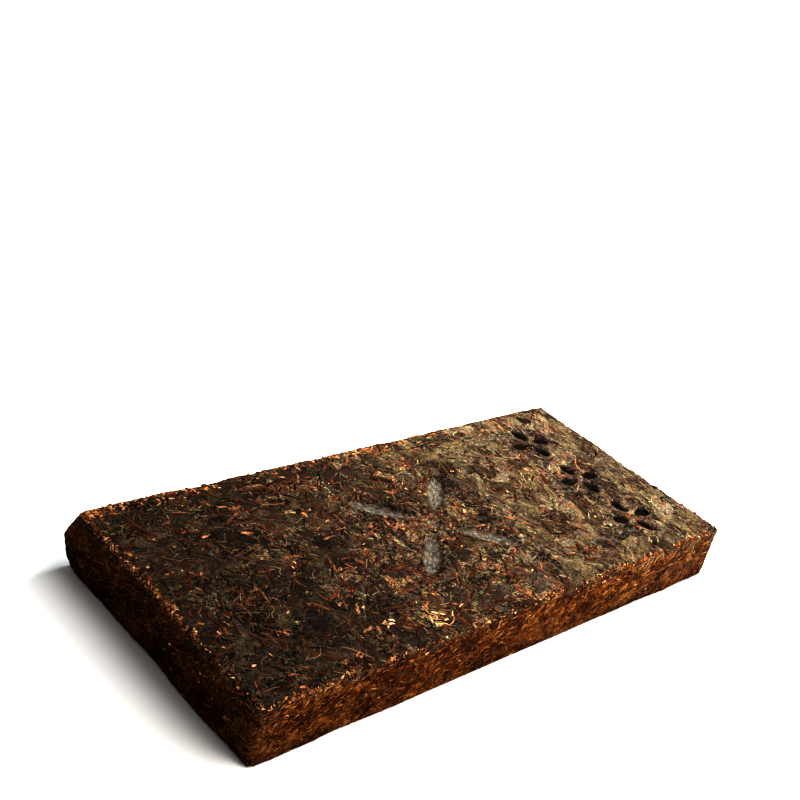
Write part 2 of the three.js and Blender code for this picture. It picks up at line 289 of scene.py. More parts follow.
class Shader:
    """One material's node tree, with a method for each kind of node that the finishes use."""

    # Threads: how fine and twisted their breaks are, where they are whole, and how much of one is full
    BREAKS = 1.6
    BREAK_TWIST = 0.5
    WHOLE: Range = (0.5, 0.56)
    FULL = 0.3

    def __init__(self, name: str) -> None:
        """Starts a material with a plain surface shader.

        Args:
            name: The material's name.
        """
        self.material = bpy.data.materials.new(name)
        self.material.use_nodes = True
        self.tree = self.material.node_tree
        self.surface = self.tree.nodes["Principled BSDF"]

    def feed(self, socket: Socket, value: object) -> None:
        """Gives a socket its value.

        Args:
            socket: The socket.
            value: Another node's socket, which is linked to it, or a plain value.
        """
        if isinstance(value, Socket):
            self.tree.links.new(value, socket)
        else:
            socket.default_value = value

    def node(self, kind: str, inputs: dict, **settings: object) -> bpy.types.Node:
        """Adds a node.

        Args:
            kind: Its type name.
            inputs: Its sockets by name or number, each with a value or another node's socket.
            settings: Its own properties.

        Returns:
            The new node.
        """
        made = self.tree.nodes.new(kind)
        for name, value in settings.items():
            setattr(made, name, value)
        for key, value in inputs.items():
            self.feed(made.inputs[key], value)
        return made

    def math(self, operation: str, first: object, second: object = 0.0) -> Socket:
        """The result of a sum of one or two values."""
        return self.node("ShaderNodeMath", {0: first, 1: second}, operation=operation).outputs[0]

    def times(self, first: object, second: object) -> Socket:
        """Two values multiplied."""
        return self.math("MULTIPLY", first, second)

    def plus(self, first: object, second: object) -> Socket:
        """Two values added."""
        return self.math("ADD", first, second)

    def place(self) -> Socket:
        """The place on the piece, in metres."""
        return self.node("ShaderNodeTexCoord", {}).outputs["Object"]

    def parts(self, vector: object) -> list[Socket]:
        """The three parts of a vector."""
        return list(self.node("ShaderNodeSeparateXYZ", {0: vector}).outputs)

    def flat_place(self, across: object, along: object) -> Socket:
        """A place on a flat skin."""
        return self.node("ShaderNodeCombineXYZ", {0: across, 1: along}).outputs[0]

    def pushed(self, vector: object, push: object) -> Socket:
        """A place moved by another vector."""
        return self.node("ShaderNodeVectorMath", {0: vector, 1: push}, operation="ADD").outputs[0]

    def drawn_out(self, vector: object, stretch: float, turn: float) -> Socket:
        """A place in which what is drawn is stretched along a heading on the level."""
        inputs = {"Vector": vector, "Scale": (stretch, 1.0, 1.0), "Rotation": (0.0, 0.0, turn)}
        return self.node("ShaderNodeMapping", inputs, vector_type="TEXTURE").outputs[0]

    def noise_node(self, vector: object, scale: float, detail: float, twist: float) -> bpy.types.Node:
        """Soft noise, as one number or as three."""
        inputs = {"Vector": vector, "Scale": scale, "Detail": detail, "Distortion": twist}
        return self.node("ShaderNodeTexNoise", inputs)

    def noise(self, vector: object, scale: float, detail: float = SOFT, twist: float = 0.0) -> Socket:
        """Soft noise from about 0.2 to 0.8."""
        return self.noise_node(vector, scale, detail, twist).outputs[0]

    def wander(self, vector: object, scale: float, detail: float) -> Socket:
        """A vector that wanders softly from place to place."""
        return self.noise_node(vector, scale, detail, 0.0).outputs["Color"]

    def cells(self, vector: object, scale: float) -> Socket:
        """A chance value from 0 to 1 for each of many cells."""
        made = self.node("ShaderNodeTexVoronoi", {"Vector": vector, "Scale": scale})
        return self.node("ShaderNodeSeparateColor", {0: made.outputs["Color"]}).outputs[0]

    def cracks(self, vector: object, scale: float, width: float) -> Socket:
        """Draws the narrow gaps between cells.

        Args:
            vector: The place.
            scale: How fine the cells are.
            width: How wide the gaps are.

        Returns:
            0 in a gap and 1 inside a cell.
        """
        inputs = {"Vector": vector, "Scale": scale}
        made = self.node("ShaderNodeTexVoronoi", inputs, feature="DISTANCE_TO_EDGE")
        return self.remap(made.outputs[0], (0.0, width), UNIT)

    def threads(self, vector: object, scale: float, width: float) -> Socket:
        """Draws broken, curling lines.

        Args:
            vector: The place.
            scale: How fine the curls are.
            width: How much of the noise one line takes up.

        Returns:
            1 along a line and 0 off it.
        """
        away = self.math("ABSOLUTE", self.math("SUBTRACT", self.noise(vector, scale, PLAIN), NOISE_MIDDLE))
        breaks = self.noise(vector, self.BREAKS * scale, PLAIN, self.BREAK_TWIST)
        whole = self.remap(breaks, self.WHOLE, UNIT)
        return self.times(self.remap(away, (self.FULL * width, width), (1.0, 0.0)), whole)

    def blend(self, share: object, first: object, second: object) -> Socket:
        """Two numbers mixed by a share."""
        return self.node("ShaderNodeMix", {0: share, 2: first, 3: second}).outputs[0]

    def remap(self, value: object, source: Range, target: Range) -> Socket:
        """A value brought from one range to another and held there."""
        inputs = {0: value, 1: source[0], 2: source[1], 3: target[0], 4: target[1]}
        return self.node("ShaderNodeMapRange", inputs).outputs[0]

    def varied(self, value: object, source: Range, amount: float) -> Socket:
        """A value brought to a factor that lies about 1 by an amount."""
        return self.remap(value, source, (1.0 - amount, 1.0 + amount))

    def ramp(self, value: object, stops: Stops) -> Socket:
        """Draws a row of colour stops.

        Args:
            value: Where along the row.
            stops: The places of the stops and their colours.

        Returns:
            The colour there.
        """
        made = self.node("ShaderNodeValToRGB", {0: value})
        row = made.color_ramp.elements
        while len(row) < len(stops):
            row.new(0.5)
        for element, (position, code) in zip(row, stops):
            element.position = position
            element.color = paint(code)
        return made.outputs[0]

    def mix(self, share: object, first: object, second: object, blend: str = "MIX") -> Socket:
        """Two colours mixed by a share."""
        inputs = {0: share, 6: first, 7: second}
        return self.node("ShaderNodeMix", inputs, data_type="RGBA", blend_type=blend).outputs[2]

    def tinted(self, colour: object, hue: object) -> Socket:
        """A colour multiplied by another."""
        return self.mix(1.0, colour, hue, "MULTIPLY")

    def shade(self, colour: object, amount: object) -> Socket:
        """A colour multiplied by a number."""
        inputs = {0: colour, "Scale": amount}
        return self.node("ShaderNodeVectorMath", inputs, operation="SCALE").outputs[0]

    def specked(self, leaf: object, chance: object, amount: float = 1.0) -> Socket:
        """Strews dark gaps, rusty specks and golden specks over leaf, each in keeping with its own tone.

        Args:
            leaf: The leaf's colour.
            chance: A chance value for each speck's place.
            amount: How strongly they show, from 0 to 1.

        Returns:
            The colour with its specks.
        """
        colour = self.shade(leaf, self.remap(chance, GAP_BAND, (1.0 - GAP_DEPTH * amount, OFF_GAP)))
        for speck in SPECKS:
            pale = self.tinted(self.shade(leaf, speck.gain), paint(speck.hue))
            colour = self.mix(self.remap(chance, speck.band, (0.0, amount)), colour, pale)
        return colour

    def attribute(self, name: str) -> Socket:
        """A number that the mesh holds at each vertex."""
        return self.node("ShaderNodeAttribute", {}, attribute_name=name).outputs["Fac"]

    def bump(self, height: object, distance: float, strength: float) -> None:
        """Gives the surface fine relief from a height."""
        inputs = {"Height": height, "Distance": distance, "Strength": strength}
        self.feed(self.surface.inputs["Normal"], self.node("ShaderNodeBump", inputs).outputs[0])

    def dress(self, colour: object, roughness: object, shine: float) -> bpy.types.Material:
        """Gives the surface its finish.

        Args:
            colour: Its colour.
            roughness: Its roughness.
            shine: How strongly it reflects.

        Returns:
            The material.
        """
        dressing = {"Base Color": colour, "Roughness": roughness, "Specular IOR Level": shine}
        for name, value in dressing.items():
            self.feed(self.surface.inputs[name], value)
        return self.material


@dataclass(frozen=True)
class CoreFinish:
    """The felted leaf of the core: torn leaf drawn out three ways, with light and shade partly painted along
    the brick, and a painted sheen in the pressed hollows.

    Sizes are in metres, scales in turns a metre, and bands along the brick in shares of its reach.
    """

    name: str = "felted_leaf"
    leaf: Stops = (
        (0.0, "0e0a08"), (0.28, "211915"), (0.46, "392f29"),
        (0.64, "564c42"), (0.82, "6c624e"), (1.0, "82775a"),
    )
    torn: Stops = ((0.0, "280f02"), (0.32, "462208"), (0.55, "693d16"), (0.78, "92602f"), (1.0, "bd945c"))
    # The painted grey sheen on the floors of the pressed marks
    hollow: Stops = ((0.34, "463d34"), (0.5, "5d544a"), (0.66, "7d756a"))
    hues: Stops = HUES
    # Painted shadow in the floret pits
    pit_shadow: str = "0a0603"
    thread: str = "7d6e56"
    grey_end: str = "f3eff5"
    reach: float = 0.15

    headings: Triple = (0.3, 1.45, 2.5)
    heading_scales: Range = (75.0, 105.0)
    heading_twist: float = 0.3
    first_edge: Range = (0.44, 0.5)
    second_edge: Range = (0.52, 0.58)
    stretch: float = 3.0
    warp: float = 0.009
    warp_scale: float = 130.0
    broad: float = 0.028
    patch: float = 0.010
    cell: float = 0.0022
    streak: float = 0.0008
    grain: float = 0.0012
    speck: float = 0.0013
    crack: float = 0.6
    crack_width: float = 0.08
    crack_shade: Range = (0.25, 1.0)

    patch_band: Range = (0.25, 0.75)
    patch_tone: Range = (0.0, 0.3)
    cell_tone: float = 0.32
    streak_tone: Range = (-0.16, 0.28)
    grain_tone: Range = (-0.22, 0.28)
    broad_band: Range = (0.35, 0.65)
    broad_tone: Range = (-0.12, 0.12)
    hue_scales: Range = (170.0, 700.0)
    hue_band: Range = (0.4, 0.6)
    thread_scales: Range = (210.0, 330.0)
    thread_widths: Range = (0.03, 0.035)
    thread_share: float = 0.35

    specks_band: Range = (0.2, 0.9)
    specks: Range = (1.0, 0.25)
    grey_band: Range = (-0.3, 1.0)
    khaki_band: Range = (0.4, 1.0)
    khaki: Range = (1.0, 0.5)
    # The top paler towards the right end and darker at the left: partly the leaf's own tone, partly painted
    # light and shade
    paler_band: Range = (-1.0, 1.0)
    paler_end: Range = (1.14, 1.7)
    left_band: Range = (-1.0, -0.5)
    left_shade: Range = (0.52, 1.0)
    # The sides paler towards the right end, partly painted light; painted shade on the left end face and low
    # down
    paler_side_end: Range = (0.68, 1.15)
    left_face_shade: Range = (0.58, 1.0)
    low_band: Range = (0.0, 0.6)
    low_shade: Range = (0.6, 1.0)

    # Painted shade on the rims of the pressed marks
    rim: float = 0.88
    rim_band: Range = (0.0, 0.5)
    # Painted sheen on the floors of the marks: streaks along the petals, in chance patches
    sheen_grain: float = 0.0013
    sheen_stretch: float = 0.7
    sheen_patch_scales: Range = (420.0, 190.0)
    sheen_patch_band: Range = (0.42, 0.54)
    sheen_share: Range = (0.3, 0.85)

    roughness: Range = (0.6, 0.9)
    pressed_roughness: float = 0.4
    shine: float = 0.02
    crack_relief: float = 0.8
    relief: float = 0.0003
    relief_strength: float = 0.8

    def material(self) -> bpy.types.Material:
        """Makes the material.

        Returns:
            The material.
        """
        shader = Shader(self.name)
        place = shader.place()
        warped = shader.pushed(place, shader.shade(shader.wander(place, self.warp_scale, FINEST), self.warp))
        ways = [shader.drawn_out(warped, self.stretch, heading) for heading in self.headings]
        streak = self.chosen(shader, place, [shader.noise(way, 1.0 / self.streak, FINE) for way in ways])
        cracks = [shader.cracks(way, self.crack / self.cell, self.crack_width) for way in ways]
        crack = self.chosen(shader, place, cracks)
        grain = shader.noise(warped, 1.0 / self.grain, FINEST)
        lines = zip((place, warped), self.thread_scales, self.thread_widths)
        thread = shader.math("MAXIMUM", *(shader.threads(*line) for line in lines))
        tone = self.tone(shader, place, ways, streak, grain)
        hue = shader.blend(
            0.5, shader.noise(ways[0], self.hue_scales[0], FINE), shader.noise(warped, self.hue_scales[1])
        )
        hue = shader.ramp(shader.remap(hue, self.hue_band, UNIT), self.hues)
        leaf = shader.tinted(shader.ramp(tone, self.leaf), hue)
        chance = shader.cells(warped, 1.0 / self.speck)
        colour = self.along_brick(shader, place, leaf, chance, thread, shader.ramp(tone, self.torn), crack)
        pressed = shader.attribute("pressed")
        colour = self.pressed_in(shader, place, colour, pressed)
        relief = shader.plus(shader.times(crack, self.crack_relief), shader.plus(streak, grain))
        shader.bump(shader.plus(relief, thread), self.relief, self.relief_strength)
        rough = shader.remap(grain, MOST_NOISE, self.roughness)
        return shader.dress(colour, shader.blend(pressed, rough, self.pressed_roughness), self.shine)

    def tone(
        self, shader: Shader, place: Socket, ways: list[Socket], streak: Socket, grain: Socket
    ) -> Socket:
        """Adds up how pale the leaf is from its patches, cells, streaks and grain.

        Args:
            shader: The material being made.
            place: The place on the piece.
            ways: The place as drawn out along each heading.
            streak: The leaf's streaks.
            grain: The leaf's grain.

        Returns:
            The tone, from about 0 to 1.
        """
        patch = self.chosen(shader, place, [shader.cells(way, 1.0 / self.patch) for way in ways])
        cell = self.chosen(shader, place, [shader.cells(way, 1.0 / self.cell) for way in ways])
        broad = shader.noise(place, 1.0 / self.broad)
        tone = shader.remap(patch, self.patch_band, self.patch_tone)
        tone = shader.plus(tone, shader.times(cell, self.cell_tone))
        tone = shader.plus(tone, shader.remap(streak, MOST_NOISE, self.streak_tone))
        tone = shader.plus(tone, shader.remap(grain, MOST_NOISE, self.grain_tone))
        return shader.plus(tone, shader.remap(broad, self.broad_band, self.broad_tone))

    def along_brick(
        self,
        shader: Shader,
        place: Socket,
        leaf: Socket,
        chance: Socket,
        thread: Socket,
        torn: Socket,
        crack: Socket,
    ) -> Socket:
        """Changes the leaf along the brick: specked and dark at the left, grey and pale at the right, partly
        in its own tone and partly as painted light and shade; the sides get painted shade low down and at
        the left end face.

        Args:
            shader: The material being made.
            place: The place on the piece.
            leaf: The colour of the pressed leaf.
            chance: A chance value for each speck's place.
            thread: Where the threads are.
            torn: The colour of the torn sides.
            crack: The gaps between cells.

        Returns:
            The colour of the core off its pressed marks.
        """
        along, _, up = shader.parts(place)
        side = shader.attribute("side")
        specks = self.changed(shader, along, self.specks_band, self.specks)
        leaf = shader.mix(specks, leaf, shader.specked(leaf, chance))
        leaf = shader.mix(shader.times(thread, self.thread_share), leaf, paint(self.thread))
        grey = self.changed(shader, along, self.grey_band, UNIT)
        leaf = shader.mix(grey, leaf, shader.tinted(leaf, paint(self.grey_end)))
        khaki = self.changed(shader, along, self.khaki_band, self.khaki)
        colour = shader.mix(shader.times(side, khaki), leaf, torn)
        # Painted shade on the sides: darker low down and at the left end face; paler towards the right end,
        # which is partly painted light
        heights = tuple(share * SLAB.height for share in self.low_band)
        low = shader.remap(up, heights, self.low_shade)
        side_pale = shader.times(shader.remap(along, RIGHT_END, self.paler_side_end), low)
        side_pale = shader.times(side_pale, shader.remap(along, LEFT_END, self.left_face_shade))
        # The top: darker at the left, paler at the right, partly the leaf's own tone and partly painted
        # light and shade
        left = self.changed(shader, along, self.left_band, self.left_shade)
        top_pale = shader.times(self.changed(shader, along, self.paler_band, self.paler_end), left)
        pale = shader.blend(side, top_pale, side_pale)
        return shader.shade(colour, shader.times(pale, shader.remap(crack, UNIT, self.crack_shade)))

    def changed(self, shader: Shader, along: Socket, band: Range, target: Range) -> Socket:
        """A value that changes over a band along the brick."""
        return shader.remap(along, (band[0] * self.reach, band[1] * self.reach), target)

    def pressed_in(self, shader: Shader, place: Socket, colour: Socket, pressed: Socket) -> Socket:
        """Paints shade on the rims of the pressed marks, a grey sheen on their floors and shadow in the
        pits.

        Args:
            shader: The material being made.
            place: The place on the piece.
            colour: The colour off the marks.
            pressed: How far a place is sunk in a mark, from 0 to 1.

        Returns:
            The colour with its marks.
        """
        # Painted sheen on the floors of the marks, strong in chance patches
        worn = shader.blend(0.5, *(shader.noise(place, scale) for scale in self.sheen_patch_scales))
        share = shader.remap(worn, self.sheen_patch_band, self.sheen_share)
        painted_sheen = shader.mix(share, colour, shader.ramp(self.sheen_streaks(shader, place), self.hollow))
        # Painted shade on the rims of the marks
        shadow = shader.shade(colour, self.rim)
        colour = shader.mix(shader.remap(pressed, self.rim_band, UNIT), colour, shadow)
        colour = shader.mix(shader.attribute("painted_sheen"), colour, painted_sheen)
        # Painted shadow in the floret pits
        return shader.mix(shader.attribute("pit_shadow"), colour, paint(self.pit_shadow))

    def sheen_streaks(self, shader: Shader, place: Socket) -> Socket:
        """Draws the streaks of painted sheen along each petal of the rosette.

        Args:
            shader: The material being made.
            place: The place on the piece.

        Returns:
            Noise drawn out along the petal of the place's own quarter.
        """
        along, across, _ = shader.parts(place)
        quarter = shader.math("GREATER_THAN", shader.times(along, across), 0.0)
        stretch = self.sheen_stretch * self.stretch
        ways = [shader.drawn_out(place, stretch, turn) for turn in (-QUARTER / 2, QUARTER / 2)]
        return shader.blend(quarter, *(shader.noise(way, 1.0 / self.sheen_grain) for way in ways))

    def chosen(self, shader: Shader, place: Socket, values: list[Socket]) -> Socket:
        """One of three values, by the patch of leaf a place is in.

        Args:
            shader: The material being made.
            place: The place on the piece.
            values: A value for each heading of the leaf.

        Returns:
            The value of the heading that the patch has.
        """
        scales = self.heading_scales
        first = shader.remap(shader.noise(place, scales[0], FINE), self.first_edge, UNIT)
        second = shader.noise(place, scales[1], FINE, self.heading_twist)
        second = shader.remap(second, self.second_edge, UNIT)
        return shader.blend(second, shader.blend(first, values[0], values[1]), values[2])


@dataclass(frozen=True)
class SkinFinish:
    """The finish of one kind of laid piece, drawn on its skin map: a row of skins, streaked lengthwise."""

    name: str
    stops: Stops
    hues: Stops = EVEN_HUES
    hue_step: float = 0.618
    streaks: float = 5.0
    streak_length: float = 2.2
    streak_twist: float = 0.4
    streak_depth: float = 0.5
    skin_step: float = 7.3
    tone_band: Range = (0.36, 0.64)
    edge_band: Range = (0.55, 1.0)
    edge_shade: float = 0.5
    mottle: float = 0.3
    mottle_scale: float = 6.0
    mottle_spread: float = 1.4
    fleck: float = 0.0
    fleck_band: Range = (0.38, 0.62)
    fleck_twist: float = 0.6
    felt: Range = (8.0, 20.0)
    felt_step: float = 17.7
    felt_wander: float = 0.7
    specks: float = 0.35
    speck_scale: float = 1.2
    veins: float = 0.0
    vein_slant: float = 0.16
    vein_turns: float = 50.0
    vein_band: Range = (0.86, 1.0)
    vein_gain: float = 2.6
    midrib: Range = (0.02, 0.09)
    roughness: Range = (0.6, 0.9)
    shine: float = 0.02
    relief: float = 0.00025
    relief_strength: float = 0.6

    def material(self) -> bpy.types.Material:
        """Makes the material.

        Returns:
            The material.
        """
        shader = Shader(self.name)
        skin = shader.node("ShaderNodeUVMap", {}, uv_map=SKIN_MAP).outputs[0]
        over, along, _ = shader.parts(skin)
        in_skins = shader.times(over, float(SKINS))
        number = shader.math("FLOOR", in_skins)
        across = shader.math("FRACT", in_skins)
        spread = shader.plus(shader.times(across, self.streaks), shader.times(number, self.skin_step))
        grain_at = shader.flat_place(spread, shader.times(along, self.streak_length))
        grain = shader.noise(grain_at, 1.0, FINEST, self.streak_twist)
        edge = shader.math("ABSOLUTE", shader.math("SUBTRACT", shader.times(across, 2.0), 1.0))
        depth = shader.varied(grain, self.tone_band, self.streak_depth)
        depth = shader.times(depth, shader.remap(edge, self.edge_band, (1.0, 1.0 - self.edge_shade)))
        speck_at = shader.flat_place(shader.times(spread, self.mottle_spread), along)
        speck = shader.noise(shader.shade(speck_at, self.mottle_scale), 1.0, FINE)
        depth = shader.times(depth, shader.varied(speck, self.tone_band, self.mottle))
        relief = grain
        if self.fleck:
            felt = self.felted(shader, across, number, along)
            fine = shader.noise(felt, 1.0, FINE, self.fleck_twist)
            depth = shader.times(depth, shader.varied(fine, self.fleck_band, self.fleck))
            relief = shader.plus(grain, fine)
        hue = shader.ramp(shader.math("FRACT", shader.times(number, self.hue_step)), self.hues)
        tint = shader.ramp(shader.math("DIVIDE", number, SKINS - 1.0), self.stops)
        colour = shader.shade(shader.tinted(tint, hue), depth)
        if self.fleck:
            colour = shader.specked(colour, shader.cells(felt, self.speck_scale), self.specks)
        if self.veins:
            colour = self.veined(shader, colour, along, edge)
        shader.bump(relief, self.relief, self.relief_strength)
        return shader.dress(colour, shader.remap(grain, MOST_NOISE, self.roughness), self.shine)

    def felted(self, shader: Shader, across: Socket, number: Socket, along: Socket) -> Socket:
        """Finds a place on a broad piece for flecks as small as the felt of the core.

        Args:
            shader: The material being made.
            across: How far across the skin a spot is, from 0 to 1.
            number: The number of the skin.
            along: How far along it the spot is, from 0 to 1.

        Returns:
            The place, warped a little.
        """
        shifted = shader.plus(shader.times(across, self.felt[0]), shader.times(number, self.felt_step))
        place = shader.flat_place(shifted, shader.times(along, self.felt[1]))
        return shader.pushed(place, shader.wander(place, self.felt_wander, FINE))

    def veined(self, shader: Shader, colour: Socket, along: Socket, edge: Socket) -> Socket:
        """Draws a midrib and slanting side veins over a leaf's colour.

        Args:
            shader: The material being made.
            colour: The leaf's colour.
            along: How far along the leaf a spot is, from 0 to 1.
            edge: How far from the midrib it is, from 0 to 1.

        Returns:
            The colour with its veins.
        """
        slant = shader.math("SUBTRACT", along, shader.times(edge, self.vein_slant))
        wave = shader.math("SINE", shader.times(slant, self.vein_turns))
        side = shader.remap(wave, self.vein_band, (0.0, 0.5 * self.veins))
        rib = shader.remap(edge, self.midrib, (self.veins, 0.0))
        return shader.mix(shader.math("MAXIMUM", side, rib), colour, shader.shade(colour, self.vein_gain))


class Bench:
    """Hand modelling: a primitive on an empty bench, shaped in edit mode."""

    @staticmethod
    def mode(name: str) -> None:
        """Goes into object or edit mode."""
        bpy.ops.object.mode_set(mode=name)

    @staticmethod
    def clear() -> None:
        """Leaves edit mode and deselects everything."""
        if bpy.context.object and bpy.context.object.mode != "OBJECT":
            Bench.mode("OBJECT")
        bpy.ops.object.select_all(action="DESELECT")

    @staticmethod
    def settle() -> None:
        """Puts the selected object's turn and scale into its mesh."""
        bpy.ops.object.transform_apply(location=True, rotation=True, scale=True)

    @staticmethod
    def start(primitive: Callable, **sizes: object) -> Piece:
        """Puts a primitive on the empty bench.

        Args:
            primitive: The operator that adds it.
            sizes: The operator's values.

        Returns:
            The primitive, its turn already in its mesh.
        """
        Bench.clear()
        primitive(**sizes)
        Bench.settle()
        return bpy.context.object

    @staticmethod
    def put(name: str, mesh: bpy.types.Mesh) -> Piece:
        """Puts a mesh on the empty bench as a piece.

        Args:
            name: The piece's name.
            mesh: Its mesh.

        Returns:
            The piece, selected alone.
        """
        piece = bpy.data.objects.new(name, mesh)
        bpy.context.scene.collection.objects.link(piece)
        Bench.clear()
        piece.select_set(True)
        bpy.context.view_layer.objects.active = piece
        return piece

    @staticmethod
    def pick(piece: Piece, test: Callable, kind: str = "VERT") -> None:
        """Goes into edit mode with only some vertices or edges selected.

        Args:
            piece: The piece.
            test: Says of each vertex or edge whether it is selected.
            kind: VERT or EDGE.
        """
        Bench.mode("EDIT")
        bpy.ops.mesh.select_mode(type=kind)
        bpy.ops.mesh.select_all(action="DESELECT")
        Bench.mode("OBJECT")
        for element in piece.data.vertices if kind == "VERT" else piece.data.edges:
            element.select = test(element)
        Bench.mode("EDIT")

    @staticmethod
    def stretch(piece: Piece, test: Test, scale: Triple) -> None:
        """Scales some vertices about the origin.

        Args:
            piece: The piece.
            test: Says by its place whether a vertex is scaled.
            scale: How much, along x, y and z.
        """
        Bench.pick(piece, lambda vertex: test(vertex.co))
        bpy.ops.transform.resize(value=scale, center_override=(0.0, 0.0, 0.0))
        Bench.mode("OBJECT")

    @staticmethod
    def shift(piece: Piece, test: Test, step: Triple) -> None:
        """Moves some vertices.

        Args:
            piece: The piece.
            test: Says by its place whether a vertex is moved.
            step: How far, along x, y and z.
        """
        Bench.pick(piece, lambda vertex: test(vertex.co))
        bpy.ops.transform.translate(value=step)
        Bench.mode("OBJECT")

    @staticmethod
    def apply(piece: Piece, kind: str, **settings: object) -> None:
        """Shapes a piece with a modifier and applies it.

        Args:
            piece: The piece, which is active.
            kind: The modifier's type.
            settings: The modifier's values.
        """
        modifier = piece.modifiers.new(kind.lower(), kind)
        for name, value in settings.items():
            setattr(modifier, name, value)
        bpy.ops.object.modifier_apply(modifier=modifier.name)

    @staticmethod
    def split_lengthwise(piece: Piece, cuts: int) -> None:
        """Cuts the edges that run along x into equal lengths.

        Args:
            piece: A piece one long.
            cuts: How many cuts.
        """
        half = 0.5

        def lengthwise(edge: bpy.types.MeshEdge) -> bool:
            """Whether an edge runs along x."""
            first, second = (piece.data.vertices[k].co.x for k in edge.vertices)
            return abs(first - second) > half

        Bench.pick(piece, lengthwise, "EDGE")
        bpy.ops.mesh.subdivide(number_cuts=cuts)
        Bench.mode("OBJECT")


@dataclass
class Template:
    """One modelled piece as arrays: x along it and y across it from -0.5 to 0.5, z up to 1 at its back."""

    points: Array
    triangles: Array

    @classmethod
    def of(cls, piece: Piece) -> "Template":
        """Reads a modelled piece into arrays and takes it off the bench.

        Args:
            piece: The modelled piece.

        Returns:
            Its template.
        """
        Bench.pick(piece, lambda vertex: True)
        bpy.ops.mesh.quads_convert_to_tris()
        bpy.ops.mesh.normals_make_consistent(inside=False)
        Bench.mode("OBJECT")
        mesh = piece.data
        points = np.array([vertex.co[:] for vertex in mesh.vertices])
        # Cutting faces into triangles leaves them in a chance order, so they are sorted
        triangles = np.array(sorted(face.vertices[:] for face in mesh.polygons))
        points[:, :2] /= 2.0 * np.abs(points[:, :2]).max(axis=0)
        points[:, 2] /= points[:, 2].max()
        bpy.data.objects.remove(piece)
        bpy.data.meshes.remove(mesh)
        return cls(points, triangles)

    @classmethod
    def shred(cls) -> "Template":
        """Models a torn shred of leaf: a thin lens, blunt at one end, ragged at the other and flat below.

        Returns:
            Its template.
        """
        add = bpy.ops.mesh.primitive_uv_sphere_add
        piece = Bench.start(add, segments=3, ring_count=4, rotation=(0.0, QUARTER, 0.0))
        piece.rotation_euler = (QUARTER, 0.0, 0.0)
        Bench.settle()
        Bench.stretch(piece, lambda co: 0.6 < co.x < 0.95, (1.0, 1.35, 1.2))
        Bench.stretch(piece, lambda co: -0.95 < co.x < -0.6, (1.1, 0.9, 1.0))
        Bench.stretch(piece, lambda co: co.z < -0.05, (1.0, 1.0, 0.6))
        return cls.of(piece)

    @classmethod
    def leaf(cls) -> "Template":
        """Models a flat piece of leaf with a torn outline, a raised midrib and a thin edge.

        Returns:
            Its template.
        """
        outline = {-0.5: 0.35, -0.25: 0.9, 0.0: 1.0, 0.25: 0.85, 0.5: 0.25}
        thickness = 0.05
        piece = Bench.start(bpy.ops.mesh.primitive_grid_add, x_subdivisions=4, y_subdivisions=2, size=1.0)
        for place, width in outline.items():
            Bench.stretch(piece, lambda co, place=place: abs(co.x - place) < 0.01, (1.0, width, 1.0))
        Bench.shift(piece, lambda co: abs(co.y) > 0.01, (0.0, 0.0, -0.02))
        Bench.shift(piece, lambda co: co.x > 0.4 and co.y > 0.01, (-0.08, 0.0, 0.0))
        Bench.shift(piece, lambda co: co.x < -0.4 and co.y < -0.01, (0.06, 0.0, 0.0))
        Bench.apply(piece, "SOLIDIFY", thickness=thickness, offset=-1.0)
        Bench.shift(piece, lambda co: True, (0.0, 0.0, thickness))
        return cls.of(piece)

    @staticmethod
    def stick(sides: int, cuts: int) -> Piece:
        """Starts a stick along x.

        Args:
            sides: How many sides it has.
            cuts: How many cuts there are along it.

        Returns:
            The stick.
        """
        add = bpy.ops.mesh.primitive_cylinder_add
        piece = Bench.start(add, vertices=sides, radius=0.5, depth=1.0, rotation=(0.0, QUARTER, 0.0))
        Bench.split_lengthwise(piece, cuts)
        return piece

    @classmethod
    def stalk(cls) -> "Template":
        """Models a stalk: six-sided, with a knuckle, a broken tip and a tapered end.

        Returns:
            Its template.
        """
        knuckle = -0.167
        piece = cls.stick(6, 5)
        Bench.stretch(piece, lambda co: co.x > 0.2, (1.0, 0.82, 0.85))
        Bench.stretch(piece, lambda co: co.x > 0.4, (1.0, 0.7, 0.7))
        Bench.stretch(piece, lambda co: abs(co.x - knuckle) < 0.02, (1.0, 1.22, 1.2))
        Bench.stretch(piece, lambda co: co.x < -0.45, (1.0, 0.85, 0.8))
        Bench.shift(piece, lambda co: co.x > 0.4 and co.y > 0.1, (-0.03, 0.0, 0.0))
        return cls.of(piece)

    @classmethod
    def fibre(cls) -> "Template":
        """Models a thin fibre: a three-sided strand, finest at its two ends.

        Returns:
            Its template.
        """
        piece = cls.stick(3, 7)
        Bench.stretch(piece, lambda co: abs(co.x) > 0.3, (1.0, 0.8, 0.8))
        Bench.stretch(piece, lambda co: abs(co.x) > 0.45, (1.0, 0.4, 0.4))
        return cls.of(piece)

    @classmethod
    def crumb(cls) -> "Template":
        """Models a crumb of leaf: an angular chip, thicker at one end.

        Returns:
            Its template.
        """
        piece = Bench.start(bpy.ops.mesh.primitive_ico_sphere_add, subdivisions=1, radius=0.5)
        Bench.stretch(piece, lambda co: co.x > 0.2, (1.25, 0.8, 0.6))
        Bench.stretch(piece, lambda co: co.x < -0.2, (1.0, 1.2, 1.1))
        Bench.shift(piece, lambda co: co.y > 0.2, (0.12, 0.0, 0.06))
        return cls.of(piece)


@dataclass
class Lay:
    """Where and how each piece of one kind lies, one row or number for each piece."""

    places: Array
    headings: Array
    lengths: Array
    widths: Array
    thicknesses: Array
    lifts: Array
    bends: Array
    tints: Array

    @classmethod
    def join(cls, lays: list["Lay"]) -> "Lay":
        """Several lays as one."""
        names = cls.__dataclass_fields__
        return cls(*(np.concatenate([getattr(lay, name) for lay in lays]) for name in names))


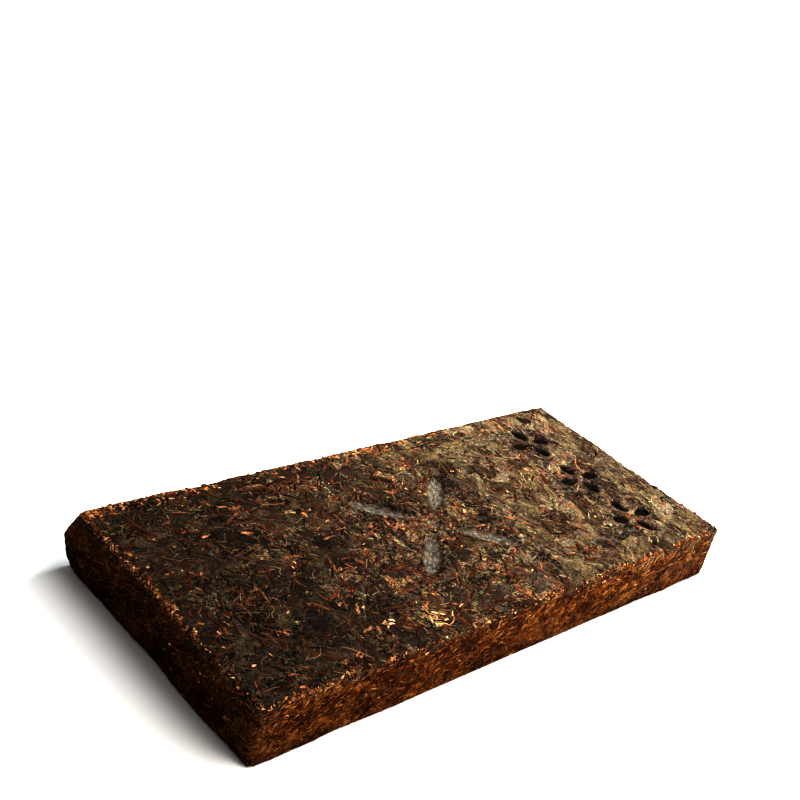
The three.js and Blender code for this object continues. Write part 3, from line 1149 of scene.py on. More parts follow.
class Surface:
    """The core's surface: its zones, places on it, and lines laid over it."""

    # How far up or down a surface faces that counts as the top or the underside
    STEEPNESS = 0.55

    def __init__(self, core: Piece) -> None:
        """Reads the core's mesh.

        Args:
            core: The finished core.
        """
        mesh = core.data
        mesh.calc_loop_triangles()
        self.points = read(mesh.vertices, "co", 3).astype(float)
        self.triangles = read(mesh.loop_triangles, "vertices", 3, np.int32)
        corners = self.points[self.triangles]
        self.centres = corners.mean(axis=1)
        normals = read(mesh.vertex_normals, "vector", 3)[self.triangles].mean(axis=1)
        self.normals = unit(normals.astype(float))
        sides = np.cross(corners[:, 1] - corners[:, 0], corners[:, 2] - corners[:, 0])
        self.areas = 0.5 * np.linalg.norm(sides, axis=1)
        self.pressed = read(mesh.attributes["pressed"].data, "value")[self.triangles].mean(axis=1)
        self.tree = BVHTree.FromPolygons(self.points.tolist(), self.triangles.tolist())
        self.cover = self.tree
        up = (self.normals[:, 2] > self.STEEPNESS) & (self.centres[:, 2] > SLAB.height / 2)
        down = self.normals[:, 2] < -self.STEEPNESS
        self.zones = {Zone.TOP: up, Zone.UNDER: down, Zone.SIDE: ~(up | down)}

    def nearest(self, points: Array) -> tuple[Array, Array]:
        """Finds the surface's nearest spots.

        Args:
            points: Rows of x, y, z.

        Returns:
            The spots on the surface, and the outward direction at each.
        """
        hits = [self.tree.find_nearest(point) for point in points.tolist()]
        spots = np.array([hit[0][:] for hit in hits])
        ups = self.normals[[hit[2] for hit in hits]]
        if self.cover is not self.tree:
            starts = spots + COVER_REACH * ups
            for k, (start, down) in enumerate(zip(starts.tolist(), (-ups).tolist())):
                top = self.cover.ray_cast(start, down, COVER_REACH)[0]
                if top is not None:
                    spots[k] = top
        return spots, ups

    def sunk(self, points: Array) -> Array:
        """How far places lie in a pressed hollow, from 0 to 1."""
        return self.pressed[[self.tree.find_nearest(point)[2] for point in points.tolist()]]

    def lie_over(self, piece: Piece) -> None:
        """Lets later pieces lie on top of this one too.

        Args:
            piece: A finished piece, all triangles.
        """
        mesh = piece.data
        corners = read(mesh.loops, "vertex_index", 1, np.int32)
        points = np.concatenate([self.points, read(mesh.vertices, "co", 3)])
        triangles = np.concatenate([self.triangles, corners.reshape(-1, 3) + len(self.points)])
        self.cover = BVHTree.FromPolygons(points.tolist(), triangles.tolist())

    def scatter(self, rng: Chance, count: int, weights: Array) -> tuple[Array, Array]:
        """Draws chance places on the surface.

        Args:
            rng: The seeded generator.
            count: How many places.
            weights: How likely each triangle is, for its area.

        Returns:
            The places and the outward direction at each.
        """
        chance = self.areas * weights
        faces = rng.choice(len(chance), count, p=chance / chance.sum())
        shares = rng.random((count, 2))
        shares = np.where(shares.sum(axis=1, keepdims=True) > 1.0, 1.0 - shares, shares)
        corners = self.points[self.triangles[faces]]
        places = corners[:, 0] + column(shares[:, 0]) * (corners[:, 1] - corners[:, 0])
        places += column(shares[:, 1]) * (corners[:, 2] - corners[:, 0])
        return places, self.normals[faces]

    def lines(self, lay: Lay, stations: Array, wander: Array) -> tuple[Array, Array, Array]:
        """Lays the middle line of each piece over the surface, walking both ways from its place.

        Args:
            lay: Where the pieces lie.
            stations: Shares of a piece's length, from -0.5 to 0.5, in order.
            wander: The extra turn at each station of each piece.

        Returns:
            The spots, the outward directions and the headings, by station and piece.
        """
        spots, ups, alongs = np.empty((3, len(stations), len(lay.places), 3))
        middle = int(np.argmin(np.abs(stations)))
        first, first_up = self.nearest(lay.places)
        for order in (range(middle, len(stations)), range(middle, -1, -1)):
            spot, up = first, first_up
            along = flattened(lay.headings, up)
            last = stations[middle]
            for k in order:
                step = stations[k] - last
                turn = column(lay.bends * step + wander[k] * np.sign(step))
                along = along * np.cos(turn) + np.cross(up, along) * np.sin(turn)
                if step:
                    spot, up = self.nearest(spot + along * column(lay.lengths * step))
                    along = flattened(along, up)
                spots[k], ups[k], alongs[k] = spot, up, along
                last = stations[k]
        return spots, ups, alongs


@dataclass
class Core:
    """The brick's own form, felted: the solid's shape at a fine pitch with the lumps of pressed leaf."""

    name: str = "brick_core"
    slot: str = "pressed_leaf"
    pitch: float = 0.0013
    same_point: float = 1e-6
    lump_size: float = 0.0045
    lump_depth: float = 0.0009
    flake_size: float = 0.0032
    flake_depth: float = 0.0008
    flat_share: float = 0.4
    pressed_calm: float = 0.8
    loose_steps: int = 10
    inner: Range = (0.005, 0.009)
    pressed_depth: Range = (0.0009, 0.0021)
    # Where the painted sheen on the floors of the marks begins and is full
    sheen_depth: Range = (0.0008, 0.0032)
    side_inset: Range = (0.0005, 0.003)
    side_depth: Range = (0.0015, 0.006)
    # Painted shadow in the floret pits: where it begins, and how dark it is
    pit_depth: Range = (0.0005, 0.002)
    pit_shade: float = 0.97
    foot: float = 0.0006
    foot_rim: Range = (0.002, 0.006)
    foot_calm: Range = (0.0, 0.0015)
    crisp_angle: float = math.radians(38.0)
    map_gap: float = 0.006
    finish: CoreFinish = CoreFinish()

    def build(self) -> Piece:
        """Models and dresses the core, and lets it stand for the solid.

        Returns:
            The finished piece.
        """
        core = Bench.put(self.name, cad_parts[SOLID].data.copy())
        Bench.pick(core, lambda vertex: True)
        bpy.ops.mesh.remove_doubles(threshold=self.same_point)
        Bench.mode("OBJECT")
        Bench.apply(core, "REMESH", mode="VOXEL", voxel_size=self.pitch)
        self.measure(core)
        self.roughen(core, "CLOUDS", self.lump_size, self.lump_depth)
        self.roughen(core, "VORONOI", self.flake_size, self.flake_depth)
        self.rest(core)
        self.lay_out(core.data)
        bpy.ops.object.shade_smooth_by_angle(angle=self.crisp_angle)
        core.data.materials.clear()
        core.data.materials.append(self.finish.material())
        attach(core, BODY)
        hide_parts(SOLID)
        return core

    def measure(self, core: Piece) -> None:
        """Notes how far each vertex is sunk, where the marks get painted sheen and the pits painted shadow,
        whether it is on a side, and how rough it may be.

        Args:
            core: The core, at its fine pitch.
        """
        points = read(core.data.vertices, "co", 3)
        inset = SLAB.inset(points)
        depth = SLAB.height - points[:, 2]
        inside = smooth_step(*self.inner, inset) * (points[:, 2] > SLAB.height / 2)
        by_floret = SLAB.by_floret(points) > 0.0
        noted = {
            "pressed": inside * smooth_step(*self.pressed_depth, depth),
            # Where the floors of the marks get painted sheen
            "painted_sheen": inside * smooth_step(*self.sheen_depth, depth),
            "side": (1.0 - smooth_step(*self.side_inset, inset)) * smooth_step(*self.side_depth, depth),
            # Where the floret pits get painted shadow
            "pit_shadow": self.pit_shade * by_floret * inside * smooth_step(*self.pit_depth, depth),
        }
        for name, values in noted.items():
            made = core.data.attributes.new(name, "FLOAT", "POINT")
            made.data.foreach_set("value", values.astype(np.float32))
        loose = core.vertex_groups.new(name="loose")
        rough = 1.0 - self.pressed_calm * noted["pressed"]
        rough *= self.flat_share + (1.0 - self.flat_share) * noted["side"]
        rough *= smooth_step(*self.foot_calm, points[:, 2])
        for step in range(self.loose_steps + 1):
            members = np.flatnonzero(np.round(rough * self.loose_steps) == step)
            loose.add(members.tolist(), step / self.loose_steps, "REPLACE")

    def roughen(self, core: Piece, kind: str, size: float, depth: float) -> None:
        """Raises lumps of one size over the loose leaf.

        Args:
            core: The core.
            kind: The texture that forms the lumps.
            size: How wide they are.
            depth: How high they stand.
        """
        lumps = bpy.data.textures.new(kind.lower(), kind)
        lumps.noise_scale = size
        Bench.apply(
            core, "DISPLACE", texture=lumps, texture_coords="LOCAL", vertex_group="loose", strength=depth
        )

    def rest(self, core: Piece) -> None:
        """Keeps the underside flat: its rim on the floor, the rest just above it, where leaf lies under it.

        Args:
            core: The core.
        """
        points = read(core.data.vertices, "co", 3)
        foot = self.foot * smooth_step(*self.foot_rim, SLAB.inset(points))
        points[:, 2] = np.maximum(points[:, 2], foot)
        core.data.vertices.foreach_set("co", points.ravel())
        core.data.update()

    def lay_out(self, mesh: bpy.types.Mesh) -> None:
        """Lays the core's faces out flat for the export: the top, the underside, then the four sides.

        Args:
            mesh: The core's mesh.
        """
        low, high = CAD_BOX
        size = high - low
        normals = read(mesh.polygons, "normal", 3)
        totals = read(mesh.polygons, "loop_total", 1, np.int32)
        corners = read(mesh.loops, "vertex_index", 1, np.int32)
        points = read(mesh.vertices, "co", 3)[corners] - np.array(low)
        faced = np.argmax(np.abs(normals), axis=1)
        axis = np.repeat(faced, totals)
        facing = np.repeat(normals[np.arange(len(normals)), faced] > 0, totals)
        gap = self.map_gap
        row = size.y + gap
        sides = 2.0 * row
        strip = size.z + gap
        charts = {
            (2, True): (0.0, 0.0, 0, 1),
            (2, False): (0.0, row, 0, 1),
            (1, False): (0.0, sides, 0, 2),
            (1, True): (0.0, sides + strip, 0, 2),
            (0, False): (0.0, sides + 2.0 * strip, 1, 2),
            (0, True): (row, sides + 2.0 * strip, 1, 2),
        }
        reach = sides + 3.0 * strip + gap
        places = np.empty((len(corners), 2), np.float32)
        for (direction, outward), (across, up, first, second) in charts.items():
            chosen = (axis == direction) & (facing == outward)
            places[chosen, 0] = (points[chosen, first] + across + gap) / reach
            places[chosen, 1] = (points[chosen, second] + up + gap) / reach
        mesh.uv_layers.new(name=SKIN_MAP).uv.foreach_set("vector", places.ravel())


@dataclass
class LaidKind:
    """Pieces of one kind, laid over the core and joined into one mesh."""

    name: str
    slot: str
    finish: SkinFinish
    seed: int
    counts: dict[Zone, int]
    length: Range
    width: Range
    thickness: Range
    lift: Range
    bend: float = 0.4
    wander: float = 0.1
    ragged: float = 0.2
    most_ragged: float = 0.7
    ruffle: float = 0.0
    size_power: float = 1.5
    width_by_size: float = 0.6
    small_pale: float = 0.0
    tint_power: float = 1.0
    top_tints: Range = UNIT
    side_tints: Range = UNIT
    side_scale: float = 1.0
    # On a side, pieces are darker low down and at the left end face, which is painted shade
    low_side_shade: float = 0.55
    low_reach: float = 0.7
    paler_end: float = 0.35
    left_face_shade_share: float = 1.5
    right_share: float = 0.0
    right_band: Range = (0.0, 0.12)
    in_hollows: float = 0.0
    hollow_reach: Range = (1.05, 1.4)
    hollow_spots: tuple[int, int] = (7, 5)
    hollow_limit: float = 0.15
    off_florets: float = 0.45
    patchy: float = 0.0
    patchy_tint: float = 0.0
    patch_size: Range = (0.014, 0.04)
    patch_waves: int = 7
    patch_rise: float = 0.7
    patch_edge: float = 2.5
    patch_seed: int = 100
    crisp_angle: float = math.radians(50.0)
    skin_fill: Range = (0.9, 0.96)
    template: Template = field(init=False)

    def model(self) -> Template:
        """Models the piece that is repeated."""
        return Template.shred()

    def build(self, surface: Surface) -> Piece:
        """Models the pieces, lays and joins them, and dresses the result.

        Args:
            surface: The core's surface.

        Returns:
            The finished piece.
        """
        rng = np.random.default_rng(self.seed)
        self.template = self.model()
        lay = Lay.join(self.lays(surface, rng))
        piece = self.joined(self.spread(surface, lay, rng), lay)
        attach(piece, BODY)
        return piece

    def lays(self, surface: Surface, rng: Chance) -> list[Lay]:
        """Where the pieces lie, zone by zone."""
        return [self.drawn(surface, rng, zone, count) for zone, count in self.counts.items()]

    def weights(self, surface: Surface, zone: Zone) -> Array:
        """How likely each triangle is to hold a piece.

        Args:
            surface: The core's surface.
            zone: The zone that the pieces lie in.

        Returns:
            A weight for each triangle, 0 outside the zone.
        """
        clear = 1.0 - (1.0 - self.in_hollows) * surface.pressed
        clear *= 1.0 - self.off_florets * SLAB.by_floret(surface.centres)
        clear *= 1.0 - self.patchy + 2.0 * self.patchy * self.patches(surface.centres)
        if zone is not Zone.SIDE:
            clear *= 1.0 + self.right_share * smooth_step(*self.right_band, surface.centres[:, 0])
        return surface.zones[zone] * clear

    def patches(self, points: Array) -> Array:
        """How thickly pieces lie at each place: chance patches a few centimetres wide.

        Args:
            points: Rows of x, y, z.

        Returns:
            A share from 0 to 1 for each row.
        """
        rng = np.random.default_rng(self.seed + self.patch_seed)
        height = np.zeros(len(points))
        for turn, size, phase in rng.random((self.patch_waves, 3)):
            way = np.array([math.cos(math.tau * turn), math.sin(math.tau * turn), self.patch_rise])
            height += np.sin(points @ way * math.tau / between(self.patch_size, size) + math.tau * phase)
        return smooth_step(-self.patch_edge, self.patch_edge, height)

    def drawn(self, surface: Surface, rng: Chance, zone: Zone, count: int) -> Lay:
        """Draws where pieces lie in one zone.

        Args:
            surface: The core's surface.
            rng: The seeded generator.
            zone: The zone.
            count: How many pieces.

        Returns:
            Their lay.
        """
        on_side = zone is Zone.SIDE
        places, ups = surface.scatter(rng, count, self.weights(surface, zone))
        size = rng.random(count) ** self.size_power
        headings = self.side_headings(rng, ups) if on_side else self.flat_headings(rng, places)
        if zone is Zone.TOP:
            clear = self.clear_of_hollows(surface, rng, places, headings, size)
            places, headings, size = places[clear], headings[clear], size[clear]
            count = len(places)
        chance = rng.random(count) * (1.0 - self.patchy_tint) + self.patchy_tint * self.patches(places)
        pale = self.paleness(places, on_side) * chance ** self.tint_power * (1.0 - self.small_pale * size)
        scale = self.side_scale if on_side else 1.0
        broad = self.width_by_size * size + (1.0 - self.width_by_size) * rng.random(count)
        return Lay(
            places=places,
            headings=headings,
            lengths=scale * between(self.length, size),
            widths=scale * between(self.width, np.clip(broad, 0.0, 1.0)),
            thicknesses=drawn_between(rng, self.thickness, count),
            lifts=drawn_between(rng, self.lift, count),
            bends=rng.normal(0.0, self.bend, count),
            tints=between(self.side_tints if on_side else self.top_tints, pale),
        )

    def clear_of_hollows(
        self, surface: Surface, rng: Chance, places: Array, headings: Array, size: Array
    ) -> Array:
        """Finds the pieces that no part of lies in a pressed hollow, and the few that may.

        Args:
            surface: The core's surface.
            rng: The seeded generator.
            places: Where the pieces lie.
            headings: Which way they lie.
            size: How large each is, from 0 to 1.

        Returns:
            Whether each piece is kept.
        """
        along = headings * column(between(self.length, size) / 2)
        aside = np.cross(UP, headings) * column(between(self.width, size) / 2)
        steps = [np.linspace(-far, far, spots) for far, spots in zip(self.hollow_reach, self.hollow_spots)]
        spots = [along * a + aside * b for a in steps[0] for b in steps[1]]
        sunk = np.max([surface.sunk(places + spot) for spot in spots], axis=0)
        return (sunk < self.hollow_limit) | (rng.random(len(places)) < self.in_hollows)

    def paleness(self, places: Array, on_side: bool) -> Array:
        """How pale pieces are by their place: palest at the right end, partly their own tone and partly
        painted light, and on a side darker low down and at the left end face, which is painted shade.

        Args:
            places: Where they lie.
            on_side: Whether they lie on a side.

        Returns:
            A share for each piece.
        """
        if not on_side:
            return 1.0 - self.paler_end * (1.0 - smooth_step(*WHOLE_LENGTH, places[:, 0]))
        pale = between((1.0 - self.paler_end, 1.0), smooth_step(*RIGHT_END, places[:, 0]))
        # Painted shade on the left end face
        dark = 1.0 - self.left_face_shade_share * self.paler_end
        pale *= between((dark, 1.0), smooth_step(*LEFT_END, places[:, 0]))
        # Painted shade low down on a side
        high = smooth_step(0.0, self.low_reach * SLAB.height, places[:, 2])
        return pale * between((self.low_side_shade, 1.0), high)

    def flat_headings(self, rng: Chance, places: Array) -> Array:
        """Headings on the top or underside: swirls, turning across the slab towards its far end.

        Args:
            rng: The seeded generator.
            places: Where the pieces lie.

        Returns:
            A level heading for each piece.
        """
        x, y = places[:, 0], places[:, 1]
        swirl = 1.1 * np.sin(x / 0.045 + 1.0) + 0.8 * np.cos(y / 0.03 + x / 0.08)
        turn = smooth_step(0.05, 0.12, x)
        stray = rng.normal(0.0, 1.0, len(x)) * (1.0 - 0.5 * turn)
        return level(swirl * (1.0 - turn) + QUARTER * turn + stray)

    def side_headings(self, rng: Chance, ups: Array) -> Array:
        """Headings on the sides: along the side, rising a little.

        Args:
            rng: The seeded generator.
            ups: The outward direction at each piece.

        Returns:
            A heading for each piece.
        """
        usual_rise, spread = 0.3, 0.42
        rise = rng.normal(usual_rise, spread, len(ups))
        return unit(np.cross(UP, ups)) * column(np.cos(rise)) + np.array(UP) * column(np.sin(rise))

    def worn(self, rng: Chance, shape: tuple[int, ...]) -> Array:
        """Chance factors about 1 that wear outlines ragged."""
        return 1.0 + rng.normal(0.0, self.ragged, shape).clip(-self.most_ragged, self.most_ragged)

    def spread(self, surface: Surface, lay: Lay, rng: Chance) -> Array:
        """Bends a copy of the template over the surface for each piece.

        Args:
            surface: The core's surface.
            lay: Where the pieces lie.
            rng: The seeded generator.

        Returns:
            The copies' points, by point of the template and piece.
        """
        on_middle = 0.01
        count = len(lay.places)
        model = self.template.points
        stations, station_of = np.unique(np.round(model[:, 0], 4), return_inverse=True)
        wander = rng.normal(0.0, self.wander, (len(stations), count))
        ragged = self.worn(rng, (len(stations), 2, count))
        ruffle = rng.normal(0.0, self.ruffle, (len(stations), 2, count)).clip(-1.0, 1.0)
        spots, ups, alongs = surface.lines(lay, stations, wander)
        points = np.empty((len(model), count, 3))
        found: dict[tuple[int, float], tuple[Array, Array, Array]] = {}
        for k, (_, across, height) in enumerate(model):
            station = int(station_of[k])
            key = (station, round(float(across), 3))
            if key not in found:
                spot, up, lift = spots[station], ups[station], lay.lifts
                if abs(across) > on_middle:
                    hand = int(across > 0)
                    width = across * lay.widths * ragged[station, hand]
                    spot, up = surface.nearest(spot + np.cross(up, alongs[station]) * column(width))
                    lift = lift + ruffle[station, hand] * lay.thicknesses
                found[key] = (spot, up, lift)
            spot, up, lift = found[key]
            points[k] = spot + up * column(height * lay.thicknesses + lift)
        return points

    def joined(self, points: Array, lay: Lay) -> Piece:
        """Joins the copies into one mesh with a skin for each, and dresses it.

        Args:
            points: The copies' points, by point of the template and piece.
            lay: Their lay, which holds their tints.

        Returns:
            The piece.
        """
        model = self.template
        size, count = points.shape[:2]
        points = points.transpose(1, 0, 2).reshape(-1, 3)
        points[:, 2] = np.maximum(points[:, 2], 0.0)
        corners = (model.triangles[None] + (np.arange(count) * size)[:, None, None]).ravel()
        mesh = bpy.data.meshes.new(self.name)
        mesh.vertices.add(len(points))
        mesh.vertices.foreach_set("co", points.astype(np.float32).ravel())
        mesh.loops.add(len(corners))
        mesh.loops.foreach_set("vertex_index", corners.astype(np.int32))
        mesh.polygons.add(len(corners) // 3)
        mesh.polygons.foreach_set("loop_start", np.arange(0, len(corners), 3, dtype=np.int32))
        mesh.update(calc_edges=True)
        skin = np.round(lay.tints.clip(0.0, 1.0) * (SKINS - 1))
        across = (skin[:, None] + 0.5 + self.skin_fill[0] * model.points[None, :, 1]) / SKINS
        along = np.broadcast_to(0.5 + self.skin_fill[1] * model.points[None, :, 0], across.shape)
        places = np.stack([across, along], axis=-1).reshape(-1, 2)[corners]
        layer = mesh.uv_layers.new(name=SKIN_MAP)
        layer.uv.foreach_set("vector", places.astype(np.float32).ravel())
        mesh.materials.append(self.finish.material())
        piece = Bench.put(self.name, mesh)
        bpy.ops.object.shade_smooth_by_angle(angle=self.crisp_angle)
        return piece


@dataclass
class ReliefKind(LaidKind):
    """A kind whose largest pieces lie where the solid has them as relief."""

    relief: int = 0
    relief_tints: Range = UNIT
    relief_left: float = 0.5
    relief_length: Range = UNIT
    relief_width: Range = UNIT
    relief_margin: float = 0.012

    def top_relief(self, rows: list[tuple[int, float, float, float]], rng: Chance) -> Lay:
        """Lays pieces in the top where the solid has them.

        Args:
            rows: The number, length, width and share of sag of each piece.
            rng: The seeded generator.

        Returns:
            The lay of those that are clear of the pressed marks.
        """
        places, headings, sizes = [], [], []
        for k, length, width, sag in rows:
            x = (fraction(0.5 + EVEN_STEP_U * k) - 0.5) * (SLAB.length - 2.0 * self.relief_margin)
            y = (fraction(0.5 + EVEN_STEP_V * k) - 0.5) * (SLAB.width - 2.0 * self.relief_margin)
            if SLAB.covers_mark(x, y, length):
                continue
            turn = GOLDEN_ANGLE * k
            along = Vector((math.cos(turn), math.sin(turn)))
            limit_x = SLAB.length / 2 - abs(along.x) * length / 2 - SLAB.arris
            limit_y = SLAB.width / 2 - abs(along.y) * length / 2 - SLAB.arris
            spot = Vector((min(max(x, -limit_x), limit_x), min(max(y, -limit_y), limit_y)))
            spot += Vector((-along.y, along.x)) * sag * length + Vector(SLAB.middle)
            places.append((spot.x, spot.y, SLAB.height))
            headings.append((along.x, along.y, 0.0))
            sizes.append((length, width, ARC_TURN * sag))
        return self.given(np.array(places), np.array(headings), np.array(sizes), rng)

    def given(self, places: Array, headings: Array, sizes: Array, rng: Chance) -> Lay:
        """Lays pieces whose place and size the solid gives, with chance thickness and tint.

        Args:
            places: Where they lie.
            headings: Which way they lie.
            sizes: Rows of length, width and bend.
            rng: The seeded generator.

        Returns:
            Their lay.
        """
        lengths, widths, bends = sizes.T
        # Darker at the left end, paler at the right: partly own tone, partly painted light and shade
        right = between((self.relief_left, 1.0), smooth_step(*WHOLE_LENGTH, places[:, 0]))
        return Lay(
            places=places,
            headings=headings,
            lengths=lengths,
            widths=widths,
            thicknesses=drawn_between(rng, self.thickness, len(places)),
            lifts=drawn_between(rng, self.lift, len(places)),
            bends=bends,
            tints=drawn_between(rng, self.relief_tints, len(places)) * right,
        )


@dataclass
class Leaves(ReliefKind):
    """Broad pieces of leaf, pressed flat. The largest lie where the solid has its leaf flakes."""

    relief: int = 30
    relief_first: int = 34
    relief_tints: Range = (0.2, 0.9)
    relief_length: Range = (0.013, 0.026)
    relief_width: Range = (0.005, 0.009)
    foot_margin: Range = (0.012, 0.02)

    def model(self) -> Template:
        """Models the piece that is repeated."""
        return Template.leaf()

    def weights(self, surface: Surface, zone: Zone) -> Array:
        """How likely each triangle is to hold a leaf: none is folded round the foot.

        Args:
            surface: The core's surface.
            zone: The zone that the leaves lie in.

        Returns:
            A weight for each triangle.
        """
        likely = super().weights(surface, zone)
        if zone is Zone.UNDER:
            likely *= smooth_step(*self.foot_margin, SLAB.inset(surface.centres))
        return likely

    def lays(self, surface: Surface, rng: Chance) -> list[Lay]:
        """Where the pieces lie: the relief of the solid first, then zone by zone."""
        rows = [self.flake(k) for k in range(1, self.relief + 1)]
        return [self.top_relief(rows, rng), *super().lays(surface, rng)]

    def flake(self, k: int) -> tuple[int, float, float, float]:
        """Sizes one flake as the solid has it.

        Args:
            k: Its place in the row of flakes.

        Returns:
            Its number, length, width and share of sag.
        """
        length = between(self.relief_length, fraction(k * EVEN_STEP_U + 0.11))
        width = between(self.relief_width, fraction(k * EVEN_STEP_V + 0.63))
        return k + self.relief_first, length, width, 0.1 * math.cos(1.7 * k)


@dataclass
class Chips(LaidKind):
    """Rusty chips of torn leaf, flat and short."""

    def model(self) -> Template:
        """Models the piece that is repeated."""
        return Template.leaf()


@dataclass
class Stalks(ReliefKind):
    """Red-brown stalks. The largest lie where the solid has its stalks, in the top and in the sides."""

    relief: int = 34
    side_relief: int = 22
    side_heights: Range = (0.28, 0.72)
    relief_tints: Range = (0.1, 0.7)
    relief_length: Range = (0.010, 0.030)
    relief_width: Range = (0.0014, 0.0024)
    relief_sag: float = 0.05

    def model(self) -> Template:
        """Models the piece that is repeated."""
        return Template.stalk()

    def stick(self, k: int) -> tuple[float, float, float]:
        """Sizes one stalk as the solid has it.

        Args:
            k: Its number.

        Returns:
            Its length, width and share of sag.
        """
        length = between(self.relief_length, fraction(k * EVEN_STEP_V + 0.21))
        width = between(self.relief_width, fraction(k * EVEN_STEP_U + 0.37))
        return length, width, self.relief_sag * math.sin(2.4 * k)

    def lays(self, surface: Surface, rng: Chance) -> list[Lay]:
        """Where the pieces lie: the relief of the solid first, then zone by zone."""
        rows = [(k, *self.stick(k)) for k in range(1, self.relief + 1)]
        return [self.top_relief(rows, rng), self.side_lay(rng), *super().lays(surface, rng)]

    def side_lay(self, rng: Chance) -> Lay:
        """Lays the stalks of the solid's four sides.

        Args:
            rng: The seeded generator.

        Returns:
            Their lay.
        """
        flats = (SLAB.length - 2.0 * SLAB.corner_radius, SLAB.width - 2.0 * SLAB.corner_radius)
        outs = (SLAB.width / 2, SLAB.length / 2)
        places, headings, sizes = [], [], []
        for k in range(1, self.side_relief + 1):
            length, width, sag = self.stick(k + self.relief)
            walk = fraction(0.5 + EVEN_STEP_U * k) * 2.0 * sum(flats)
            height = between(self.side_heights, fraction(0.5 + EVEN_STEP_V * k)) * SLAB.height
            tilt = 0.3 * math.sin(3.1 * k)
            side, along = self.side_walk(walk, flats)
            turn = side * QUARTER
            way = Vector((math.cos(turn), math.sin(turn), 0.0))
            outward = Vector((way.y, -way.x, 0.0))
            limit = max(flats[side % 2] / 2 - length / 2, 0.0)
            place = way * min(max(along, -limit), limit) + outward * outs[side % 2]
            places.append((place.x + SLAB.middle[0], place.y + SLAB.middle[1], height + sag * length))
            headings.append((way.x * math.cos(tilt), way.y * math.cos(tilt), math.sin(tilt)))
            sizes.append((length, width, ARC_TURN * sag))
        return self.given(np.array(places), np.array(headings), np.array(sizes), rng)

    @staticmethod
    def side_walk(walk: float, flats: Range) -> tuple[int, float]:
        """Finds a place on the slab's outline, walked from the front, anticlockwise.

        Args:
            walk: How far to walk along the flat sides.
            flats: The flat lengths of a long side and a short side.

        Returns:
            The side's number, and how far along it from its middle the place is.
        """
        for side, flat in enumerate(flats * 2):
            if walk < flat:
                return side, walk - flat / 2
            walk -= flat
        return 0, 0.0


@dataclass(frozen=True)
class Nest:
    """A loose nest of flat shavings, curled together on the top."""

    x: float
    y: float
    reach: float
    count: int
    squeeze: Range = (1.0, 0.5)
    length: Range = (0.002, 0.0075)
    width: Range = (0.0005, 0.0016)
    thickness: Range = (0.00014, 0.0003)
    lift: Range = (0.0, 0.0006)
    bend: float = 1.0
    tints: Range = (0.35, 1.0)

    def lay(self, rng: Chance) -> Lay:
        """Draws where the shavings lie.

        Args:
            rng: The seeded generator.

        Returns:
            Their lay.
        """
        angles = rng.random(self.count) * math.tau
        offsets = rng.normal(0.0, self.reach / 2, (self.count, 2)) * self.squeeze
        heights = np.full(self.count, SLAB.height)
        return Lay(
            places=np.stack([self.x + offsets[:, 0], self.y + offsets[:, 1], heights], axis=1),
            headings=level(angles),
            lengths=drawn_between(rng, self.length, self.count),
            widths=drawn_between(rng, self.width, self.count),
            thicknesses=drawn_between(rng, self.thickness, self.count),
            lifts=drawn_between(rng, self.lift, self.count),
            bends=rng.normal(0.0, self.bend, self.count),
            tints=drawn_between(rng, self.tints, self.count),
        )


@dataclass
class Fibres(LaidKind):
    """Thin pale fibres that curl over the surface, most of all at the upper arris, and two nests."""

    arris_share: float = 3.0
    arris_band: float = 0.004
    nests: tuple[Nest, ...] = (Nest(-0.055, -0.064, 0.012, 34), Nest(-0.084, -0.057, 0.003, 7))

    def model(self) -> Template:
        """Models the piece that is repeated."""
        return Template.fibre()

    def weights(self, surface: Surface, zone: Zone) -> Array:
        """How likely each triangle is to hold a fibre.

        Args:
            surface: The core's surface.
            zone: The zone that the fibres lie in.

        Returns:
            A weight for each triangle.
        """
        inset, depth = SLAB.from_arris(surface.centres)
        near = np.exp(-(inset + depth) / self.arris_band)
        return super().weights(surface, zone) * (1.0 + self.arris_share * near)

    def lays(self, surface: Surface, rng: Chance) -> list[Lay]:
        """Where the pieces lie: zone by zone, then the nests."""
        return [*super().lays(surface, rng), *(nest.lay(rng) for nest in self.nests)]


@dataclass(frozen=True)
class ChippedEdge:
    """Larger chips along one upper edge: from a corner of the slab, strewn a little inwards."""

    corner: Range
    along: Range
    inward: Range
    count: int
    span: float
    gather: float
    tints: Range
    strew: float
    stray: float = 0.7
    length: Range = (0.0013, 0.0048)
    length_power: float = 1.5
    width: Range = (0.0007, 0.0021)
    lift: Range = (0.0, 0.0001)

    def lay(self, rng: Chance, thickness: Range) -> Lay:
        """Draws where the chips lie.

        Args:
            rng: The seeded generator.
            thickness: How thick they are.

        Returns:
            Their lay.
        """
        away = self.span * rng.random(self.count) ** self.gather
        inward = np.abs(rng.normal(0.0, self.strew, self.count))
        start = np.array(SLAB.middle) + np.array(self.corner) * (SLAB.length / 2, SLAB.width / 2)
        flat = start + column(away) * np.array(self.along) + column(inward) * np.array(self.inward)
        angles = rng.normal(math.atan2(self.along[1], self.along[0]), self.stray, self.count)
        return Lay(
            places=np.column_stack([flat, np.full(self.count, SLAB.height)]),
            headings=level(angles),
            lengths=between(self.length, rng.random(self.count) ** self.length_power),
            widths=drawn_between(rng, self.width, self.count),
            thicknesses=drawn_between(rng, thickness, self.count),
            lifts=drawn_between(rng, self.lift, self.count),
            bends=np.zeros(self.count),
            tints=drawn_between(rng, self.tints, self.count),
        )


BACK_LEFT: Range = (-1, 1)
FRONT_RIGHT: Range = (1, -1)
TO_RIGHT: Range = (1, 0)
TO_LEFT: Range = (-1, 0)
TO_BACK: Range = (0, 1)
TO_FRONT: Range = (0, -1)


